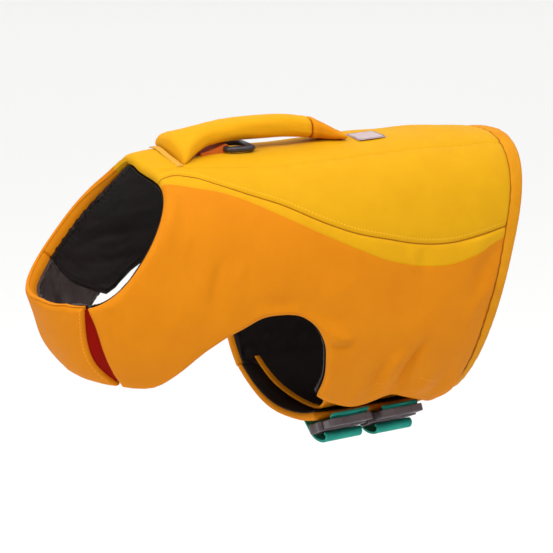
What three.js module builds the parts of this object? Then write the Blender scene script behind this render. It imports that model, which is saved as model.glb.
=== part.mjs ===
import * as THREE from 'three';
import { mergeVertices } from 'three/addons/utils/BufferGeometryUtils.js';

// A dog life jacket, filled out as if worn, in millimetres.
// X runs from the neck (minus) to the tail, Y to the dog's right, Z up.
// The origin is where the jacket rests on the dog's back, on the lining under the mid-back line.

// A station is the X of a cross-section where it meets the mid-back line.
const NECK = -116;
const BAND_SEAM = 229;
const TAIL = 246;

// Layers, measured inwards from the outer face of the jacket.
const SEAM = 0.3;
const FOAM = 9.6;
const LINING = 1;
const BELLY_FACE = 2.7;
const LINING_FACE = 10;
const LINING_INSET = 0.6;
const LINING_BACK = LINING_FACE + LINING;
const FLAP = { clearance: 1.7, wall: 2.4, lining: 0.9 };
const FLAP_FACE = LINING_BACK + FLAP.clearance;
const FLAP_BACK = FLAP_FACE + FLAP.wall;
const FLAP_LINING_FACE = FLAP_BACK + SEAM;
const FLAP_LINING_BACK = FLAP_LINING_FACE + FLAP.lining;
const GUSSET_FACE = 4;
const GUSSET_BACK = 6.4;
const GUSSET_INSET = 2 * SEAM;
const PATCH_BACK = -SEAM;

const COLOURS = {
  yellow: 0xf7b320,
  gold: 0xf0a91f,
  orange: 0xec9420,
  red: 0x8f1209,
  dark: 0x2a2321,
  teal: 0x2b8c84,
  grey: 0x77706f,
  steel: 0x4a4744,
  pale: 0xe6dfd3,
};
const LOOKS = {
  cloth: { roughness: 0.75, metalness: 0 },
  plastic: { roughness: 0.45, metalness: 0 },
  metal: { roughness: 0.4, metalness: 0.8 },
};

// A row of numbers under named columns becomes an object with those names.
function table(columns, rows) {
  const names = columns.split(' ');
  return rows.map((row) => Object.fromEntries(names.map((name, k) => [name, row[k] ?? 0])));
}

// A smooth run through the rows of a table, with a kink where a row says corner.
function spline(rows, key) {
  const names = Object.keys(rows[0]).filter((name) => name !== 'corner');
  const last = rows.length - 1;
  const slope = (k, name) => (rows[k + 1][name] - rows[k][name]) / (rows[k + 1][key] - rows[k][key]);
  const tangent = (k, from, name) => {
    if (k === 0 || k === last || rows[k].corner) return slope(from, name);
    const before = rows[k][key] - rows[k - 1][key];
    const after = rows[k + 1][key] - rows[k][key];
    return (slope(k - 1, name) * after + slope(k, name) * before) / (before + after);
  };
  return (x) => {
    let k = 0;
    while (k < last - 1 && x > rows[k + 1][key]) k += 1;
    const width = rows[k + 1][key] - rows[k][key];
    const f = (x - rows[k][key]) / width;
    const row = {};
    for (const name of names) {
      const start = rows[k][name];
      const end = rows[k + 1][name];
      const pull = f * (1 - f) ** 2 * tangent(k, k, name) - f ** 2 * (1 - f) * tangent(k + 1, k, name);
      row[name] = start + (end - start) * f ** 2 * (3 - 2 * f) + width * pull;
    }
    return row;
  };
}

const mix = (a, b, f) => a + (b - a) * f;
const between = (a, b, f) => [mix(a[0], b[0], f), mix(a[1], b[1], f)];
const steps = (count) => Array.from({ length: count + 1 }, (_, k) => k / count);

// Cross-sections of the outer face. Each lies in a plane through its top and low points, bulges to
// half its width at the share widest of the way down, and turns about Z by turn degrees.
const BODY = spline(table('station topZ lowX lowZ half widest topPower lowPower turn midY', [
  [-116, 1, -210, -112, 68, 0.5, 2.3, 2.3, 12, -6],
  [-98, 5.5, -188, -168, 77, 0.5, 2.4, 2.3, 9, -4],
  [-75, 8.5, -136, -210, 85, 0.5, 2.5, 2.2, 6, -2],
  [-45, 10, -72, -233, 90, 0.48, 2.6, 2.2, 3, 0],
  [-5, 11, -14, -245, 94, 0.47, 2.7, 2.2, 0, 0],
  [50, 13, 42, -250, 97, 0.46, 2.7, 2.2, 0, 0],
  [120, 17, 98, -250, 96, 0.45, 2.7, 2.2, 0, 0],
  [190, 17, 152, -246, 92, 0.43, 2.7, 2.3, 0, 0],
  [246, 14, 191, -233, 83, 0.42, 2.7, 2.3, 0, 0],
]), 'station');

// How far the neck edge is cut back towards the tail, which fades out behind the shoulders.
const NECK_CUT = { left: 8, right: 4, endsAt: 0.85, low: -2, fadesOver: 56 };

function neckCut(station, round) {
  const share = Math.abs(round);
  const deepest = round < 0 ? NECK_CUT.left : NECK_CUT.right;
  const bow = deepest * Math.sin(Math.PI * Math.min(1, share / NECK_CUT.endsAt));
  const fade = THREE.MathUtils.clamp(1 - (station - NECK) / NECK_CUT.fadesOver, 0, 1);
  return (bow + NECK_CUT.low * share ** 4) * fade;
}

// The cloth under the front of the handle is drawn up into a low crest, just right of mid-back.
const CREST = { round: 0.085, width: 0.09 };
const CREST_HEIGHT = spline(table('station height corner', [
  [-116, 11],
  [-98, 10],
  [-82, 8.8],
  [-70, 2.6],
  [-63, 0.3],
  [-60, 0, 1],
  [246, 0],
]), 'station');

function crestAt(station, round) {
  return CREST_HEIGHT(station).height * Math.exp(-(((round - CREST.round) / CREST.width) ** 2));
}

const SECTION_STEPS = 96;
const sections = new Map();

function section(station) {
  const key = station.toFixed(4);
  if (sections.has(key)) return sections.get(key);
  const ring = BODY(station);
  const height = Math.hypot(ring.lowX - station, ring.lowZ - ring.topZ);
  const points = [];
  for (let k = 0; k <= SECTION_STEPS; k += 1) {
    const angle = Math.PI * k / SECTION_STEPS;
    const upper = angle < Math.PI / 2;
    const power = 2 / (upper ? ring.topPower : ring.lowPower);
    const y = ring.half * Math.sin(angle) ** power;
    const bulge = Math.abs(Math.cos(angle)) ** power;
    const drop = upper ? ring.widest * (1 - bulge) : mix(ring.widest, 1, bulge);
    const before = points[k - 1];
    const length = k ? before.length + Math.hypot(y - before.y, (drop - before.drop) * height) : 0;
    points.push({ y, drop, length });
  }
  sections.set(key, { ring, points });
  return sections.get(key);
}

// A point of the outer face. Round is the share of the half girth from mid-back (0) to mid-belly (1),
// plus on the right and minus on the left, and past 1 it goes on up the other side.
function faceAt(station, round) {
  const turned = round > 1 ? round - 2 : round < -1 ? round + 2 : round;
  const at = station + neckCut(station, turned);
  const { ring, points } = section(at);
  const wanted = Math.abs(turned) * points[SECTION_STEPS].length;
  let k = 1;
  while (k < SECTION_STEPS && points[k].length < wanted) k += 1;
  const f = (wanted - points[k - 1].length) / (points[k].length - points[k - 1].length);
  const y = mix(points[k - 1].y, points[k].y, f) * Math.sign(turned);
  const drop = mix(points[k - 1].drop, points[k].drop, f);
  const turn = THREE.MathUtils.degToRad(ring.turn);
  return new THREE.Vector3(
    mix(at, ring.lowX, drop) - y * Math.sin(turn),
    ring.midY + y * Math.cos(turn),
    mix(ring.topZ, ring.lowZ, drop) + crestAt(at, turned),
  );
}

const PROBE = { station: 2, round: 0.012 };

function outwardAt(station, round) {
  const lengthways = faceAt(station + PROBE.station, round).sub(faceAt(station - PROBE.station, round));
  const roundways = faceAt(station, round + PROBE.round).sub(faceAt(station, round - PROBE.round));
  return lengthways.cross(roundways).normalize();
}

// A point at a depth under the outer face, or proud of it where the depth is below zero.
function bodyPoint([station, round], depth) {
  return faceAt(station, round).addScaledVector(outwardAt(station, round), -depth);
}

// A closed solid from two grids of points, the inner one behind the outer one.
function slab(outer, inner) {
  const columns = outer.length;
  const rows = outer[0].length;
  const points = [...outer.flat(), ...inner.flat()];
  const back = columns * rows;
  const at = (i, j) => i * rows + j;
  const faces = [];
  const quad = (a, b, c, d) => faces.push(a, b, c, a, c, d);
  for (let i = 0; i < columns - 1; i += 1) {
    for (let j = 0; j < rows - 1; j += 1) {
      quad(at(i, j), at(i + 1, j), at(i + 1, j + 1), at(i, j + 1));
      quad(back + at(i, j), back + at(i, j + 1), back + at(i + 1, j + 1), back + at(i + 1, j));
    }
  }
  // Both rims of a strip split their quads the same way, so that neighbours lie flush.
  const rimUp = (a, b) => quad(a, back + a, back + b, b);
  const rimDown = (a, b) => quad(back + b, back + a, a, b);
  for (let i = 0; i < columns - 1; i += 1) {
    rimUp(at(i, 0), at(i + 1, 0));
    rimDown(at(i, rows - 1), at(i + 1, rows - 1));
  }
  for (let j = 0; j < rows - 1; j += 1) {
    rimDown(at(0, j), at(0, j + 1));
    rimUp(at(columns - 1, j), at(columns - 1, j + 1));
  }
  return solidFrom(points, faces);
}

// A geometry with its faces turned outwards.
function solidFrom(points, faces) {
  let volume = 0;
  for (let k = 0; k < faces.length; k += 3) {
    const [a, b, c] = [points[faces[k]], points[faces[k + 1]], points[faces[k + 2]]];
    volume += a.dot(b.clone().cross(c));
  }
  const turned = volume > 0 ? faces : faces.slice().reverse();
  const geometry = new THREE.BufferGeometry();
  geometry.setAttribute('position', new THREE.Float32BufferAttribute(points.flatMap((p) => p.toArray()), 3));
  geometry.setIndex(turned);
  return geometry;
}

// Draws the edge of a grid of [station, round] points in by a distance, so neighbours stay apart.
function drawnIn(grid, distance) {
  const pull = (from, to) => {
    const length = faceAt(...from).distanceTo(faceAt(...to));
    return between(from, to, distance / length);
  };
  const lastColumn = grid.length - 1;
  const lastRow = grid[0].length - 1;
  const ends = grid.map((column, i) => {
    if (i === 0) return column.map((point, j) => pull(point, grid[1][j]));
    if (i === lastColumn) return column.map((point, j) => pull(point, grid[i - 1][j]));
    return column;
  });
  return ends.map((column) => column.map((point, j) => {
    if (j === 0) return pull(point, column[1]);
    if (j === lastRow) return pull(point, column[j - 1]);
    return point;
  }));
}

function panel(grid, face, back, distance = SEAM / 2) {
  const cut = drawnIn(grid, distance);
  const layer = (depth) => cut.map((column) => column.map((point) => bodyPoint(point, depth)));
  return slab(layer(face), layer(back));
}

// A grid that fills four edges, each a function from 0 to 1 that gives [station, round].
function patch({ top, bottom, left, right }, across, down) {
  return across.map((s) => down.map((v) => [0, 1].map((k) => {
    const rows = mix(top(s)[k], bottom(s)[k], v);
    const columns = mix(left(v)[k], right(v)[k], s);
    const corners = mix(mix(top(0)[k], top(1)[k], s), mix(bottom(0)[k], bottom(1)[k], s), v);
    return rows + columns - corners;
  })));
}

const straight = (from, to) => (f) => between(from, to, f);

// The seams that run lengthways, as the share of the half girth, alike on both sides.
const SEAMS = spline(table('station spine upper stripe', [
  [-116, 0.085, 0.14, 0.168],
  [-104, 0.085, 0.122, 0.172],
  [-84, 0.092, 0.143, 0.19],
  [-65, 0.105, 0.176, 0.206],
  [-40, 0.122, 0.212, 0.236],
  [-12, 0.132, 0.247, 0.278],
  [30, 0.136, 0.308, 0.34],
  [55, 0.136, 0.337, 0.373],
  [90, 0.136, 0.364, 0.415],
  [126, 0.136, 0.387, 0.44],
  [162, 0.136, 0.394, 0.448],
  [195, 0.134, 0.386, 0.433],
  [229, 0.13, 0.375, 0.4],
]), 'station');

// The free lower edge of each side: the chest edge, the leg hole and the hem. Across is the station
// above it on the stripe seam, and the edge itself runs to the tail and back in a leg hole.
const LOWER_EDGES = {
  left: spline(table('across station round corner', [
    [-116, -114, 0.765],
    [-105, -104, 0.776],
    [-99.5, -95, 0.806],
    [-94, -84, 0.856, 1],
    [-86, -76, 0.806],
    [-78, -71, 0.738],
    [-68, -64, 0.665],
    [-56, -53, 0.605],
    [-42, -40, 0.565],
    [-26, -26, 0.535],
    [-10, -10, 0.527],
    [4, 4, 0.529],
    [16, 14, 0.542],
    [28, 24, 0.567],
    [40, 32, 0.606],
    [58, 36, 0.656],
    [76, 38, 0.712],
    [92, 36, 0.772, 1],
    [104, 54, 0.8],
    [120, 82, 0.828],
    [135, 106, 0.817],
    [150, 126, 0.802],
    [165, 148, 0.822],
    [182, 172, 0.85],
    [200, 196, 0.888],
    [229, 226, 0.896],
  ]), 'across'),
  right: spline(table('across station round corner', [
    [-116, -116, 0.6, 1],
    [-94, -80, 0.6, 1],
    [-78, -66, 0.505],
    [-56, -50, 0.469],
    [-26, -26, 0.468],
    [-10, -11, 0.494],
    [4, 0, 0.552],
    [16, 5, 0.632],
    [28, 8, 0.712],
    [40, 12, 0.786, 1],
    [76, 50, 0.803],
    [120, 98, 0.81],
    [150, 140, 0.81],
    [200, 195, 0.805],
    [229, 226, 0.8],
  ]), 'across'),
};

const COLUMNS = [
  -116, -110.5, -105, -99.5, -94, -86, -78, -68, -56, -42, -26, -10, 4, 16,
  28, 40, 58, 76, 92, 104, 120, 135, 150, 165, 182, 200, 229,
];
const UPPER_ROWS = 3;
const STRIPE_ROWS = 1;
const SIDE_ROWS = 6;
const SPINE_ROWS = 4;
const SIDES = { left: -1, right: 1 };

// The grid of one side from the spine seam to the lower edge, a column for each station.
function sideGrid(side) {
  const sign = SIDES[side];
  return COLUMNS.map((station) => {
    const seam = SEAMS(station);
    const edge = LOWER_EDGES[side](station);
    const marks = [
      [station, seam.spine],
      [station, seam.upper],
      [station, seam.stripe],
      [edge.station, edge.round],
    ];
    const counts = [UPPER_ROWS, STRIPE_ROWS, SIDE_ROWS];
    const column = [marks[0]];
    counts.forEach((count, k) => {
      for (let j = 1; j <= count; j += 1) column.push(between(marks[k], marks[k + 1], j / count));
    });
    return column.map(([at, round]) => [at, sign * round]);
  });
}

const GRIDS = { left: sideGrid('left'), right: sideGrid('right') };
const rowsOf = (grid, from, to) => grid.map((column) => column.slice(from, to + 1));
const SPINE_GRID = COLUMNS.map((station) => {
  const half = SEAMS(station).spine;
  return steps(SPINE_ROWS).map((f) => [station, mix(half, -half, f)]);
});

// The chest panel comes round from a seam on the right and ends in a free edge on the left.
const CHEST_COLUMNS = 14;
const CHEST_ROWS = 4;
const CHEST_SEAM = 0.6;
const CHEST_SEAM_END = -80;
const CHEST_EDGE = spline(table('down station round', [
  [0, -115, 1.23],
  [0.25, -110, 1.202],
  [0.5, -103, 1.17],
  [0.75, -94, 1.148],
  [1, -84.5, 1.137],
]), 'down');
const CHEST_HEM = spline(table('along station round', [
  [0, -80, 0.6],
  [0.12, -84, 0.665],
  [0.35, -89, 0.79],
  [0.7, -93, 0.985],
  [0.87, -90, 1.07],
  [1, -84.5, 1.137],
]), 'along');
const chestEdge = (f) => [CHEST_EDGE(f).station, CHEST_EDGE(f).round];
const CHEST_GRID = patch({
  top: straight([NECK, CHEST_SEAM], chestEdge(0)),
  bottom: (f) => [CHEST_HEM(f).station, CHEST_HEM(f).round],
  left: straight([NECK, CHEST_SEAM], [CHEST_SEAM_END, CHEST_SEAM]),
  right: chestEdge,
}, steps(CHEST_COLUMNS), steps(CHEST_ROWS));

// The gusset closes the slit between the chest panel and the left side.
const SLIT = { from: NECK, to: -94, rows: [0.15, 0.35, 0.55, 0.75, 0.92] };
const GUSSET_GRID = SLIT.rows.map((f) => {
  const side = LOWER_EDGES.left(mix(SLIT.from, SLIT.to, f));
  return steps(2).map((g) => between(chestEdge(f), [side.station, 2 - side.round], g));
});

// The belly flap carries on from the hem of the right side, past mid-belly.
const BELLY_ROWS = 5;
const LEG_HOLE_END = 40;
const BELLY_TOP = GRIDS.right.slice(COLUMNS.indexOf(LEG_HOLE_END)).map((column) => column.at(-1));
const BELLY_FRONT = spline(table('down station round', [
  [0, 12, 0.786],
  [0.3, 22, 0.878],
  [0.5, 29, 0.94],
  [0.75, 39, 1.02],
  [1, 50, 1.1],
]), 'down');
const BELLY_REAR = { station: 206, round: 1.1 };
const bellyLength = BELLY_TOP.at(-1)[0] - BELLY_TOP[0][0];
const bellyShare = BELLY_TOP.map(([station]) => (station - BELLY_TOP[0][0]) / bellyLength);
const bellyFront = (f) => [BELLY_FRONT(f).station, BELLY_FRONT(f).round];
const BELLY_GRID = patch({
  top: (f) => BELLY_TOP[bellyShare.indexOf(f)] ?? between(BELLY_TOP[0], BELLY_TOP.at(-1), f),
  bottom: straight(bellyFront(1), [BELLY_REAR.station, BELLY_REAR.round]),
  left: bellyFront,
  right: straight(BELLY_TOP.at(-1), [BELLY_REAR.station, BELLY_REAR.round]),
}, bellyShare, steps(BELLY_ROWS));

// The inner flap crosses the belly inside it, from the left hem to a free edge on the right.
const FLAP_FRONT = spline(table('along station round', [
  [0, 28, 0.77],
  [0.2, 39, 0.85],
  [0.45, 54, 0.95],
  [0.65, 60, 1.03],
  [0.85, 57, 1.12],
  [1, 52, 1.19],
]), 'along');
const FLAP_REAR_STATION = 204;
const FLAP_COLUMNS = 8;
const FLAP_ROWS = 6;
const flapFront = (f) => [FLAP_FRONT(f).station, FLAP_FRONT(f).round];
const FLAP_GRID = patch({
  top: flapFront,
  bottom: (f) => [FLAP_REAR_STATION, flapFront(f)[1]],
  left: (f) => [mix(flapFront(0)[0], FLAP_REAR_STATION, f), flapFront(0)[1]],
  right: (f) => [mix(flapFront(1)[0], FLAP_REAR_STATION, f), flapFront(1)[1]],
}, steps(FLAP_COLUMNS), steps(FLAP_ROWS));

// The band round the tail opening takes the rear ends of all the panels above it.
const BAND_ROUNDS = [
  ...GRIDS.right.at(-1).map(([, round]) => round).reverse(),
  ...SPINE_GRID.at(-1).slice(1, -1).map(([, round]) => round),
  ...GRIDS.left.at(-1).map(([, round]) => round),
];
const BAND_GRID = BAND_ROUNDS.map((round) => [[BAND_SEAM, round], [TAIL, round]]);

// A soft tube or tongue on the mid-back line, from oval sections.
const OVAL_SIDES = 12;

function ovalSolid(rows) {
  const points = rows.flatMap((row) => steps(OVAL_SIDES).slice(1).map((f) => {
    const angle = f * 2 * Math.PI;
    const y = row.halfWidth * Math.cos(angle);
    const sag = row.roll * y - row.droop * Math.cos(angle) ** 2;
    return new THREE.Vector3(row.x - row.skew * y, y, row.z + sag + row.halfHeight * Math.sin(angle));
  }));
  const faces = [];
  for (let i = 0; i < rows.length - 1; i += 1) {
    for (let j = 0; j < OVAL_SIDES; j += 1) {
      const next = (j + 1) % OVAL_SIDES;
      const [a, b] = [i * OVAL_SIDES + j, i * OVAL_SIDES + next];
      faces.push(a, b, b + OVAL_SIDES, a, b + OVAL_SIDES, a + OVAL_SIDES);
    }
  }
  const lastRing = (rows.length - 1) * OVAL_SIDES;
  for (let j = 1; j < OVAL_SIDES - 1; j += 1) {
    faces.push(0, j + 1, j);
    faces.push(lastRing, lastRing + j, lastRing + j + 1);
  }
  return solidFrom(points, faces);
}

// The padded grip, from its wide front end, sewn flat on the back, to the seam at its rear. A section
// rises by roll and leans back by skew for each millimetre to the left, and its edges droop.
const GRIP_COLUMNS = 'x z halfWidth halfHeight roll droop skew';
const GRIP = table(GRIP_COLUMNS, [
  [-84, 17.6, 27, 4.2, 0.19, 5, 0.12],
  [-82.5, 18.9, 27.5, 6.2, 0.19, 4.9, 0.12],
  [-78, 20.6, 26, 7.8, 0.18, 4.2, 0.12],
  [-71, 22.2, 21.5, 9.2, 0.14, 3, 0.1],
  [-62, 24.2, 17, 10, 0.07, 1.2, 0.06],
  [-52, 26.6, 14.2, 9.8],
  [-36, 29.2, 13.5, 9.7],
  [-18, 30.6, 13, 10],
  [4, 31, 13, 10.2],
  [26, 30.5, 12.5, 10],
  [42, 28.6, 12, 9.4],
  [51, 27, 11.5, 8.6],
]);
const GRIP_REAR = table(GRIP_COLUMNS, [
  [51.4, 27, 12.2, 9],
  [60, 25, 14, 8.2],
  [70, 21.6, 17, 6.1],
  [77, 19.6, 18.5, 4.2],
  [83, 18.4, 18, 2.6],
]);

// Tapes and patches laid on the back, each as thick as its cloth.
const TAPE = 1.2;
const FRONT_TAPE = { from: -91, to: -85.5, round: 0.085 };
const LABEL = { from: 92, to: 120, left: 0.06, right: 0.016, thickness: 0.8 };

function laidOn(from, to, right, left, thickness, across, down) {
  const edge = (station) => straight([station, right], [station, -left]);
  const grid = patch({
    top: straight([from, right], [to, right]),
    bottom: straight([from, -left], [to, -left]),
    left: edge(from),
    right: edge(to),
  }, steps(across), steps(down));
  return panel(grid, PATCH_BACK - thickness, PATCH_BACK, 0);
}

// The leash ring swings on its front bar, which the tab holds in its fold.
const RING = { bar: 2.6, pivotX: -34, rearX: -9, halfWidth: 17, corner: 6, steps: 28, sides: 8 };
const TAB = { from: -58, halfWidth: 10.5, strap: 2, fold: 1.2, clearance: 0.3, foldEnds: 0.75 * Math.PI };
const TAB_BORE = RING.bar + TAB.clearance;
const TAB_OUTSIDE = TAB_BORE + TAB.fold;
const RING_Z = BODY(RING.pivotX).topZ + SEAM + TAB_OUTSIDE;

function ringSolid() {
  const outline = new THREE.Path();
  const { corner, halfWidth, pivotX, rearX } = RING;
  outline.absarc(rearX - corner, halfWidth - corner, corner, Math.PI / 2, 0, true);
  outline.absarc(rearX - corner, corner - halfWidth, corner, 0, -Math.PI / 2, true);
  outline.absarc(pivotX + corner, corner - halfWidth, corner, -Math.PI / 2, -Math.PI, true);
  outline.absarc(pivotX + corner, halfWidth - corner, corner, Math.PI, Math.PI / 2, true);
  outline.closePath();
  const middle = outline.getSpacedPoints(RING.steps).slice(0, RING.steps);
  const points = middle.flatMap((point, k) => {
    const after = middle[(k + 1) % RING.steps];
    const before = middle[(k + RING.steps - 1) % RING.steps];
    const along = after.clone().sub(before).normalize();
    return steps(RING.sides).slice(1).map((f) => {
      const angle = f * 2 * Math.PI;
      const out = RING.bar * Math.cos(angle);
      return new THREE.Vector3(
        point.x - along.y * out,
        point.y + along.x * out,
        RING_Z + RING.bar * Math.sin(angle),
      );
    });
  });
  const faces = [];
  for (let i = 0; i < RING.steps; i += 1) {
    for (let j = 0; j < RING.sides; j += 1) {
      const rise = (i + 1) % RING.steps * RING.sides;
      const next = (j + 1) % RING.sides;
      const [a, b] = [i * RING.sides + j, i * RING.sides + next];
      faces.push(a, b, rise + next, a, rise + next, rise + j);
    }
  }
  return solidFrom(points, faces);
}

function tabSolid() {
  const low = BODY(TAB.from).topZ + SEAM;
  const outline = new THREE.Shape();
  outline.moveTo(TAB.from, low);
  outline.lineTo(RING.pivotX, RING_Z - TAB_OUTSIDE);
  outline.absarc(RING.pivotX, RING_Z, TAB_OUTSIDE, -Math.PI / 2, TAB.foldEnds, false);
  outline.lineTo(TAB.from, low + TAB.strap);
  outline.closePath();
  const hole = new THREE.Path();
  hole.absarc(RING.pivotX, RING_Z, TAB_BORE, 0, 2 * Math.PI, true);
  outline.holes.push(hole);
  const depth = 2 * TAB.halfWidth;
  const geometry = new THREE.ExtrudeGeometry(outline, { depth, bevelEnabled: false, curveSegments: 8 });
  geometry.rotateX(Math.PI / 2);
  geometry.translate(0, TAB.halfWidth, 0);
  return geometry;
}

// The two belly straps. Each has a fastened buckle on the end of the belly flap, webbing that
// loops under it from the flap, and a short tongue of webbing up to the left hem.
const STRAPS = {
  front: { station: 84, tilt: 2.5, tongue: 23.5 },
  rear: { station: 151, tilt: 1.5, tongue: 19 },
};
const WEBBING = { width: 38, thick: 2, gap: 0.8 };
const BUCKLE = { round: -0.906, thick: 9.5, gap: 0.9, corner: 4, bevel: 1, sideRoom: 1 };
const SOCKET = { halfWidth: 25, from: -23, to: 3, waist: 2.5, slot: 3.6, slots: [-18, -9] };
const PLUG = { halfWidth: 22.5, from: 3.3, to: 22, thick: 7, slot: 4.5, slots: [16.5], waist: 0 };
const BUCKLE_DEPTH = BELLY_FACE - BUCKLE.gap - BUCKLE.thick / 2;
const STRAP_ROUNDS = [0.87, 0.92, 0.97];
const STRAP_LOOP = table('along out', [[-28, 6], [-12, 13], [-4, 13], [-0.8, 9.6], [-3.5, 6.6]]);
const TONGUE = { slot: [[16, 2.6], [16.2, -1.5], [17.4, -5.2]], endOut: -7.2 };

// The place of a buckle: across along X, along from mid-belly up to the hem, out from the body.
function seatOf(station, tilt) {
  const { round } = BUCKLE;
  const out = outwardAt(station, round);
  const up = faceAt(station, round + PROBE.round).sub(faceAt(station, round - PROBE.round));
  const across = up.cross(out).normalize();
  const along = out.clone().cross(across);
  const seat = new THREE.Matrix4().makeBasis(across, along, out);
  seat.multiply(new THREE.Matrix4().makeRotationY(THREE.MathUtils.degToRad(tilt)));
  return seat.setPosition(bodyPoint([station, round], BUCKLE_DEPTH));
}

// Half a buckle: a plate with rounded corners, pinched at its sides and slotted for webbing.
function buckleHalf({ halfWidth, from, to, waist, slot, slots }, thick) {
  const { corner, bevel } = BUCKLE;
  const middle = (from + to) / 2;
  const outline = new THREE.Shape();
  outline.moveTo(corner - halfWidth, from);
  outline.lineTo(halfWidth - corner, from);
  outline.quadraticCurveTo(halfWidth, from, halfWidth, from + corner);
  outline.quadraticCurveTo(halfWidth - waist, middle, halfWidth, to - corner);
  outline.quadraticCurveTo(halfWidth, to, halfWidth - corner, to);
  outline.lineTo(corner - halfWidth, to);
  outline.quadraticCurveTo(-halfWidth, to, -halfWidth, to - corner);
  outline.quadraticCurveTo(waist - halfWidth, middle, -halfWidth, from + corner);
  outline.quadraticCurveTo(-halfWidth, from, corner - halfWidth, from);
  const reach = WEBBING.width / 2 + BUCKLE.sideRoom;
  for (const at of slots) {
    const hole = new THREE.Path();
    hole.moveTo(-reach, at - slot / 2);
    hole.lineTo(-reach, at + slot / 2);
    hole.lineTo(reach, at + slot / 2);
    hole.lineTo(reach, at - slot / 2);
    hole.closePath();
    outline.holes.push(hole);
  }
  const geometry = new THREE.ExtrudeGeometry(outline, {
    depth: thick - 2 * bevel,
    bevelThickness: bevel,
    bevelSize: bevel,
    bevelOffset: -bevel,
    bevelSegments: 1,
    curveSegments: 4,
  });
  return geometry.translate(0, 0, bevel - thick / 2);
}

// Webbing of even thickness along a run of { along, out } points.
const WEBBING_STEPS = 20;

function webbing(run) {
  const curve = new THREE.SplineCurve(run.map(({ along, out }) => new THREE.Vector2(along, out)));
  const half = WEBBING.thick / 2;
  const edge = (side) => steps(WEBBING_STEPS).map((f) => {
    const tangent = curve.getTangentAt(f);
    return curve.getPointAt(f).add(new THREE.Vector2(-tangent.y, tangent.x).multiplyScalar(side * half));
  });
  const outline = new THREE.Shape([...edge(1), ...edge(-1).reverse()]);
  const geometry = new THREE.ExtrudeGeometry(outline, { depth: WEBBING.width, bevelEnabled: false });
  const local = new THREE.Matrix4().makeBasis(
    new THREE.Vector3(0, 1, 0),
    new THREE.Vector3(0, 0, 1),
    new THREE.Vector3(1, 0, 0),
  );
  return geometry.applyMatrix4(local.setPosition(-WEBBING.width / 2, 0, 0));
}

// The run of a belly strap, sewn on the flap and then looping down to the buckle.
function strapRun(station, seat) {
  const toSeat = seat.clone().invert();
  const depth = BELLY_FACE - WEBBING.gap - WEBBING.thick / 2;
  const sewn = STRAP_ROUNDS.map((round) => {
    const point = bodyPoint([station, round], depth).applyMatrix4(toSeat);
    return { along: point.y, out: point.z };
  });
  return [...sewn, ...STRAP_LOOP];
}

const SAME_POINT = 1e-3;

function merged(geometry) {
  const bare = new THREE.BufferGeometry();
  bare.setAttribute('position', geometry.getAttribute('position'));
  bare.setIndex(geometry.getIndex());
  return mergeVertices(bare, SAME_POINT);
}

const jacket = new THREE.Group();

function add(name, geometry, colour, look = 'cloth', parent = jacket) {
  const material = new THREE.MeshStandardMaterial({ color: COLOURS[colour], ...LOOKS[look] });
  const mesh = new THREE.Mesh(merged(geometry), material);
  mesh.name = name;
  parent.add(mesh);
}

const STRIPE_START = UPPER_ROWS;
const SIDE_START = UPPER_ROWS + STRIPE_ROWS;
const LAST_ROW = SIDE_START + SIDE_ROWS;

add('spine_panel', panel(SPINE_GRID, 0, FOAM), 'yellow');
add('lining_spine', panel(SPINE_GRID, LINING_FACE, LINING_BACK), 'dark');
for (const side of Object.keys(SIDES)) {
  const grid = GRIDS[side];
  add(`upper_${side}`, panel(rowsOf(grid, 0, STRIPE_START), 0, FOAM), 'yellow');
  add(`stripe_${side}`, panel(rowsOf(grid, STRIPE_START, SIDE_START), 0, FOAM), 'gold');
  add(`side_${side}`, panel(rowsOf(grid, SIDE_START, LAST_ROW), 0, FOAM), 'orange');
  add(`lining_${side}`, panel(grid, LINING_FACE, LINING_BACK, LINING_INSET), 'dark');
}
add('tail_band', panel(BAND_GRID, 0, LINING_BACK), 'orange');
add('chest_panel', panel(CHEST_GRID, 0, FOAM), 'orange');
add('lining_chest', panel(CHEST_GRID, LINING_FACE, LINING_BACK), 'dark');
add('chest_gusset', panel(GUSSET_GRID, GUSSET_FACE, GUSSET_BACK, GUSSET_INSET), 'red');
add('belly_flap', panel(BELLY_GRID, BELLY_FACE, FOAM), 'orange');
add('lining_belly', panel(BELLY_GRID, LINING_FACE, LINING_BACK), 'dark');
add('inner_flap', panel(FLAP_GRID, FLAP_FACE, FLAP_BACK), 'orange');
add('lining_flap', panel(FLAP_GRID, FLAP_LINING_FACE, FLAP_LINING_BACK), 'dark');
add('handle_grip', ovalSolid(GRIP), 'yellow');
add('handle_rear', ovalSolid(GRIP_REAR), 'orange');
add('handle_tape', laidOn(FRONT_TAPE.from, FRONT_TAPE.to, FRONT_TAPE.round, FRONT_TAPE.round, TAPE, 2, 8), 'gold');
add('ring_tab', tabSolid(), 'orange');
add('leash_ring', ringSolid(), 'steel', 'metal');
add('label_patch', laidOn(LABEL.from, LABEL.to, LABEL.right, LABEL.left, LABEL.thickness, 4, 4), 'pale');

for (const [name, { station, tilt, tongue }] of Object.entries(STRAPS)) {
  const seat = seatOf(station, tilt);
  const group = new THREE.Group();
  seat.decompose(group.position, group.quaternion, group.scale);
  jacket.add(group);
  add(`strap_${name}`, webbing(strapRun(station, seat)), 'teal', 'cloth', group);
  const tongueRun = table('along out', [...TONGUE.slot, [tongue, TONGUE.endOut]]);
  add(`tongue_${name}`, webbing(tongueRun), 'teal', 'cloth', group);
  add(`socket_${name}`, buckleHalf(SOCKET, BUCKLE.thick), 'grey', 'plastic', group);
  add(`plug_${name}`, buckleHalf(PLUG, PLUG.thick), 'grey', 'plastic', group);
}

export default jacket;
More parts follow.
